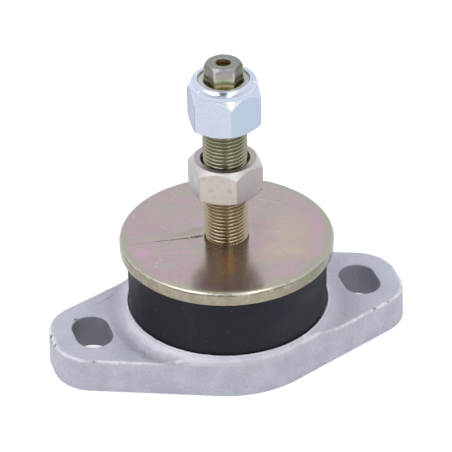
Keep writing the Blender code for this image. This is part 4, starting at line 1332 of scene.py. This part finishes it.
lip, edge = INSERT_LIP_ROUND, INSERT_EDGE_ROUND
section = arc(INSERT_GRIP + lip, INSERT_TOP - lip, lip, lip, 180.0, 90.0, 4)
section += [(8.0 * MM, INSERT_TOP + 0.02 * MM), (8.9 * MM, INSERT_TOP)]
section += arc(INSERT_RADIUS - edge, INSERT_TOP - edge, edge, edge, 90.0, 0.0, 3)
section += [(INSERT_RADIUS, INSERT_BOTTOM), (INSERT_BORE, INSERT_BOTTOM),
            (INSERT_BORE, INSERT_LIP_BOTTOM), (INSERT_GRIP, INSERT_LIP_EDGE)]
insert = turned("nylon_ring_moulded", section, 120)
grained_finish(insert, "natural_nylon", 0.0, 0.45,
               {"Grain Size": 0.0004, "Mottle Size": 0.004, "Light": (0.60, 0.60, 0.565),
                "Dark": (0.52, 0.52, 0.475), "Grain Contrast": 0.2}, (0.40, 0.52), 0.00002)
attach(insert, "locking_insert")
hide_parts("nylon_insert")

# Floor
# A wide pale sheet under the mount. The camera and mirrors see it as white, with the
# mount's soft shadow left on it.
floor_mesh = bpy.data.meshes.new("floor")
FLOOR_REACH = 4.0
FLOOR_LEVEL = -0.1 * MM
corners = [(-FLOOR_REACH, -FLOOR_REACH), (FLOOR_REACH, -FLOOR_REACH), (FLOOR_REACH, FLOOR_REACH),
           (-FLOOR_REACH, FLOOR_REACH)]
floor_mesh.from_pydata([(x, y, FLOOR_LEVEL) for x, y in corners], [], [(0, 1, 2, 3)])
floor = new_piece("floor", floor_mesh)
floor_finish = bpy.data.materials.new("floor_white")
floor_finish.use_nodes = True
tree = floor_finish.node_tree
tree.nodes.clear()
rays = add_node(tree, "ShaderNodeLightPath").outputs
seen = larger(rays["Is Camera Ray"], larger(rays["Is Glossy Ray"], rays["Is Transmission Ray"]))
sheet = add_node(tree, "ShaderNodeBsdfDiffuse", {"Color": (0.80, 0.80, 0.81)})
paper = add_node(tree, "ShaderNodeBsdfDiffuse", {"Color": (0.34, 0.34, 0.345)})
white = add_node(tree, "ShaderNodeEmission", {"Color": (1.0, 1.0, 1.0), "Strength": 0.76})
both = add_node(tree, "ShaderNodeAddShader", {0: paper.outputs[0], 1: white.outputs[0]})
mixed = add_node(tree, "ShaderNodeMixShader", {0: seen, 1: sheet.outputs[0], 2: both.outputs[0]})
tree.links.new(mixed.outputs[0], add_node(tree, "ShaderNodeOutputMaterial").inputs[0])
floor.data.materials.append(floor_finish)

# Light and camera
# A light tent with a dark gap where the camera looks in, which metal mirrors as a thin dark
# line. A tall soft lamp stands on each side of the gap. The camera is where the photo's was.
CAMERA_TURN = math.radians(16.993)
toward_camera = Vector((-math.sin(CAMERA_TURN), -math.cos(CAMERA_TURN), 0.0))
camera_right = Vector((math.cos(CAMERA_TURN), -math.sin(CAMERA_TURN), 0.0))
GAP_HALF = 0.13
GAP_WIDENING = 0.17
world = bpy.data.worlds.new("light_tent")
bpy.context.scene.world = world
world.use_nodes = True
tree = world.node_tree
tree.nodes.clear()


direction = add_node(tree, "ShaderNodeTexCoord").outputs["Generated"]
frontal = component(direction, toward_camera)
sideways = calculate("ABSOLUTE", component(direction, camera_right))
tent = tint(remap(frontal, -0.55, 0.05), (0.90, 0.91, 0.94), (0.80, 0.80, 0.82))
tent = tint(remap(frontal, 0.15, 0.85), tent, (0.44, 0.44, 0.45))
gap_half = plus(GAP_HALF, times(larger(frontal, 0.0), GAP_WIDENING))
gap = remap(minus(sideways, gap_half), 0.03, -0.03)
gap = times(gap, remap(frontal, -0.16, -0.04))
upward = component(direction, Vector((0.0, 0.0, 1.0)))
gap = times(gap, remap(upward, 0.42, 0.62))
tent = tint(gap, tent, (0.045, 0.045, 0.05))
rays = add_node(tree, "ShaderNodeLightPath").outputs
shown = tint(rays["Is Camera Ray"], tent, (1.0, 1.0, 1.0))
back = add_node(tree, "ShaderNodeBackground", {"Color": shown, "Strength": 1.0})
tree.links.new(back.outputs[0], add_node(tree, "ShaderNodeOutputWorld").inputs[0])

LAMPS = [  # name, sideways from the camera's plane, height (degrees), width, length, W
    ("left_lamp", -0.627, 71.0, 0.70, 1.27, 6.2),
    ("right_lamp", 0.433, 55.0, 0.444, 2.18, 6.2),
]
LAMP_DISTANCE = 1.3
aim = Vector((0.0, 0.0, 0.06))
for name, sideways, rise, width, length, power in LAMPS:
    lamp = bpy.data.lights.new(name, "AREA")
    lamp.shape = "RECTANGLE"
    lamp.size, lamp.size_y, lamp.energy = width, length, power
    lamp_object = bpy.data.objects.new(name, lamp)
    bpy.context.scene.collection.objects.link(lamp_object)
    up = math.radians(rise)
    away = toward_camera * math.cos(up) + Vector((0.0, 0.0, math.sin(up)))
    offset = away * LAMP_DISTANCE + camera_right * sideways
    facing = offset.normalized()
    across = (camera_right - facing * camera_right.dot(facing)).normalized()
    turned_to = Matrix((across, facing.cross(across), facing)).transposed()
    lamp_object.matrix_world = Matrix.Translation(aim + offset) @ turned_to.to_4x4()

CAMERA_RISE = math.radians(33.354)
CAMERA_ROLL = math.radians(1.135)
CAMERA_OFFSET = (0.955 * MM, -40.50 * MM, 857.49 * MM)
SENSOR_WIDTH = 36.0
FOCAL_LENGTH_PIXELS = 2278.92
PICTURE_WIDTH_PIXELS = 452
ca, sa = math.cos(CAMERA_TURN), math.sin(CAMERA_TURN)
ce, se = math.cos(CAMERA_RISE), math.sin(CAMERA_RISE)
cr, sr = math.cos(CAMERA_ROLL), math.sin(CAMERA_ROLL)
turn_about = Matrix(((ca, -sa, 0), (sa, ca, 0), (0, 0, 1)))
look_down = Matrix(((1, 0, 0), (0, se, ce), (0, ce, -se)))
roll = Matrix(((cr, -sr, 0), (sr, cr, 0), (0, 0, 1)))
right, up, forward = roll @ look_down @ turn_about
eye = -(right * CAMERA_OFFSET[0] + up * CAMERA_OFFSET[1] + forward * CAMERA_OFFSET[2])
camera_data = bpy.data.cameras.new("camera")
camera_data.sensor_width = SENSOR_WIDTH
camera_data.lens = FOCAL_LENGTH_PIXELS / PICTURE_WIDTH_PIXELS * SENSOR_WIDTH
camera_data.clip_start, camera_data.clip_end = 0.05, 50.0
camera = bpy.data.objects.new("camera", camera_data)
bpy.context.scene.collection.objects.link(camera)
axes = Matrix((right, up, -forward)).transposed()
camera.matrix_world = Matrix.Translation(eye) @ axes.to_4x4()
bpy.context.scene.camera = camera
bpy.context.scene.view_settings.view_transform = "Standard"
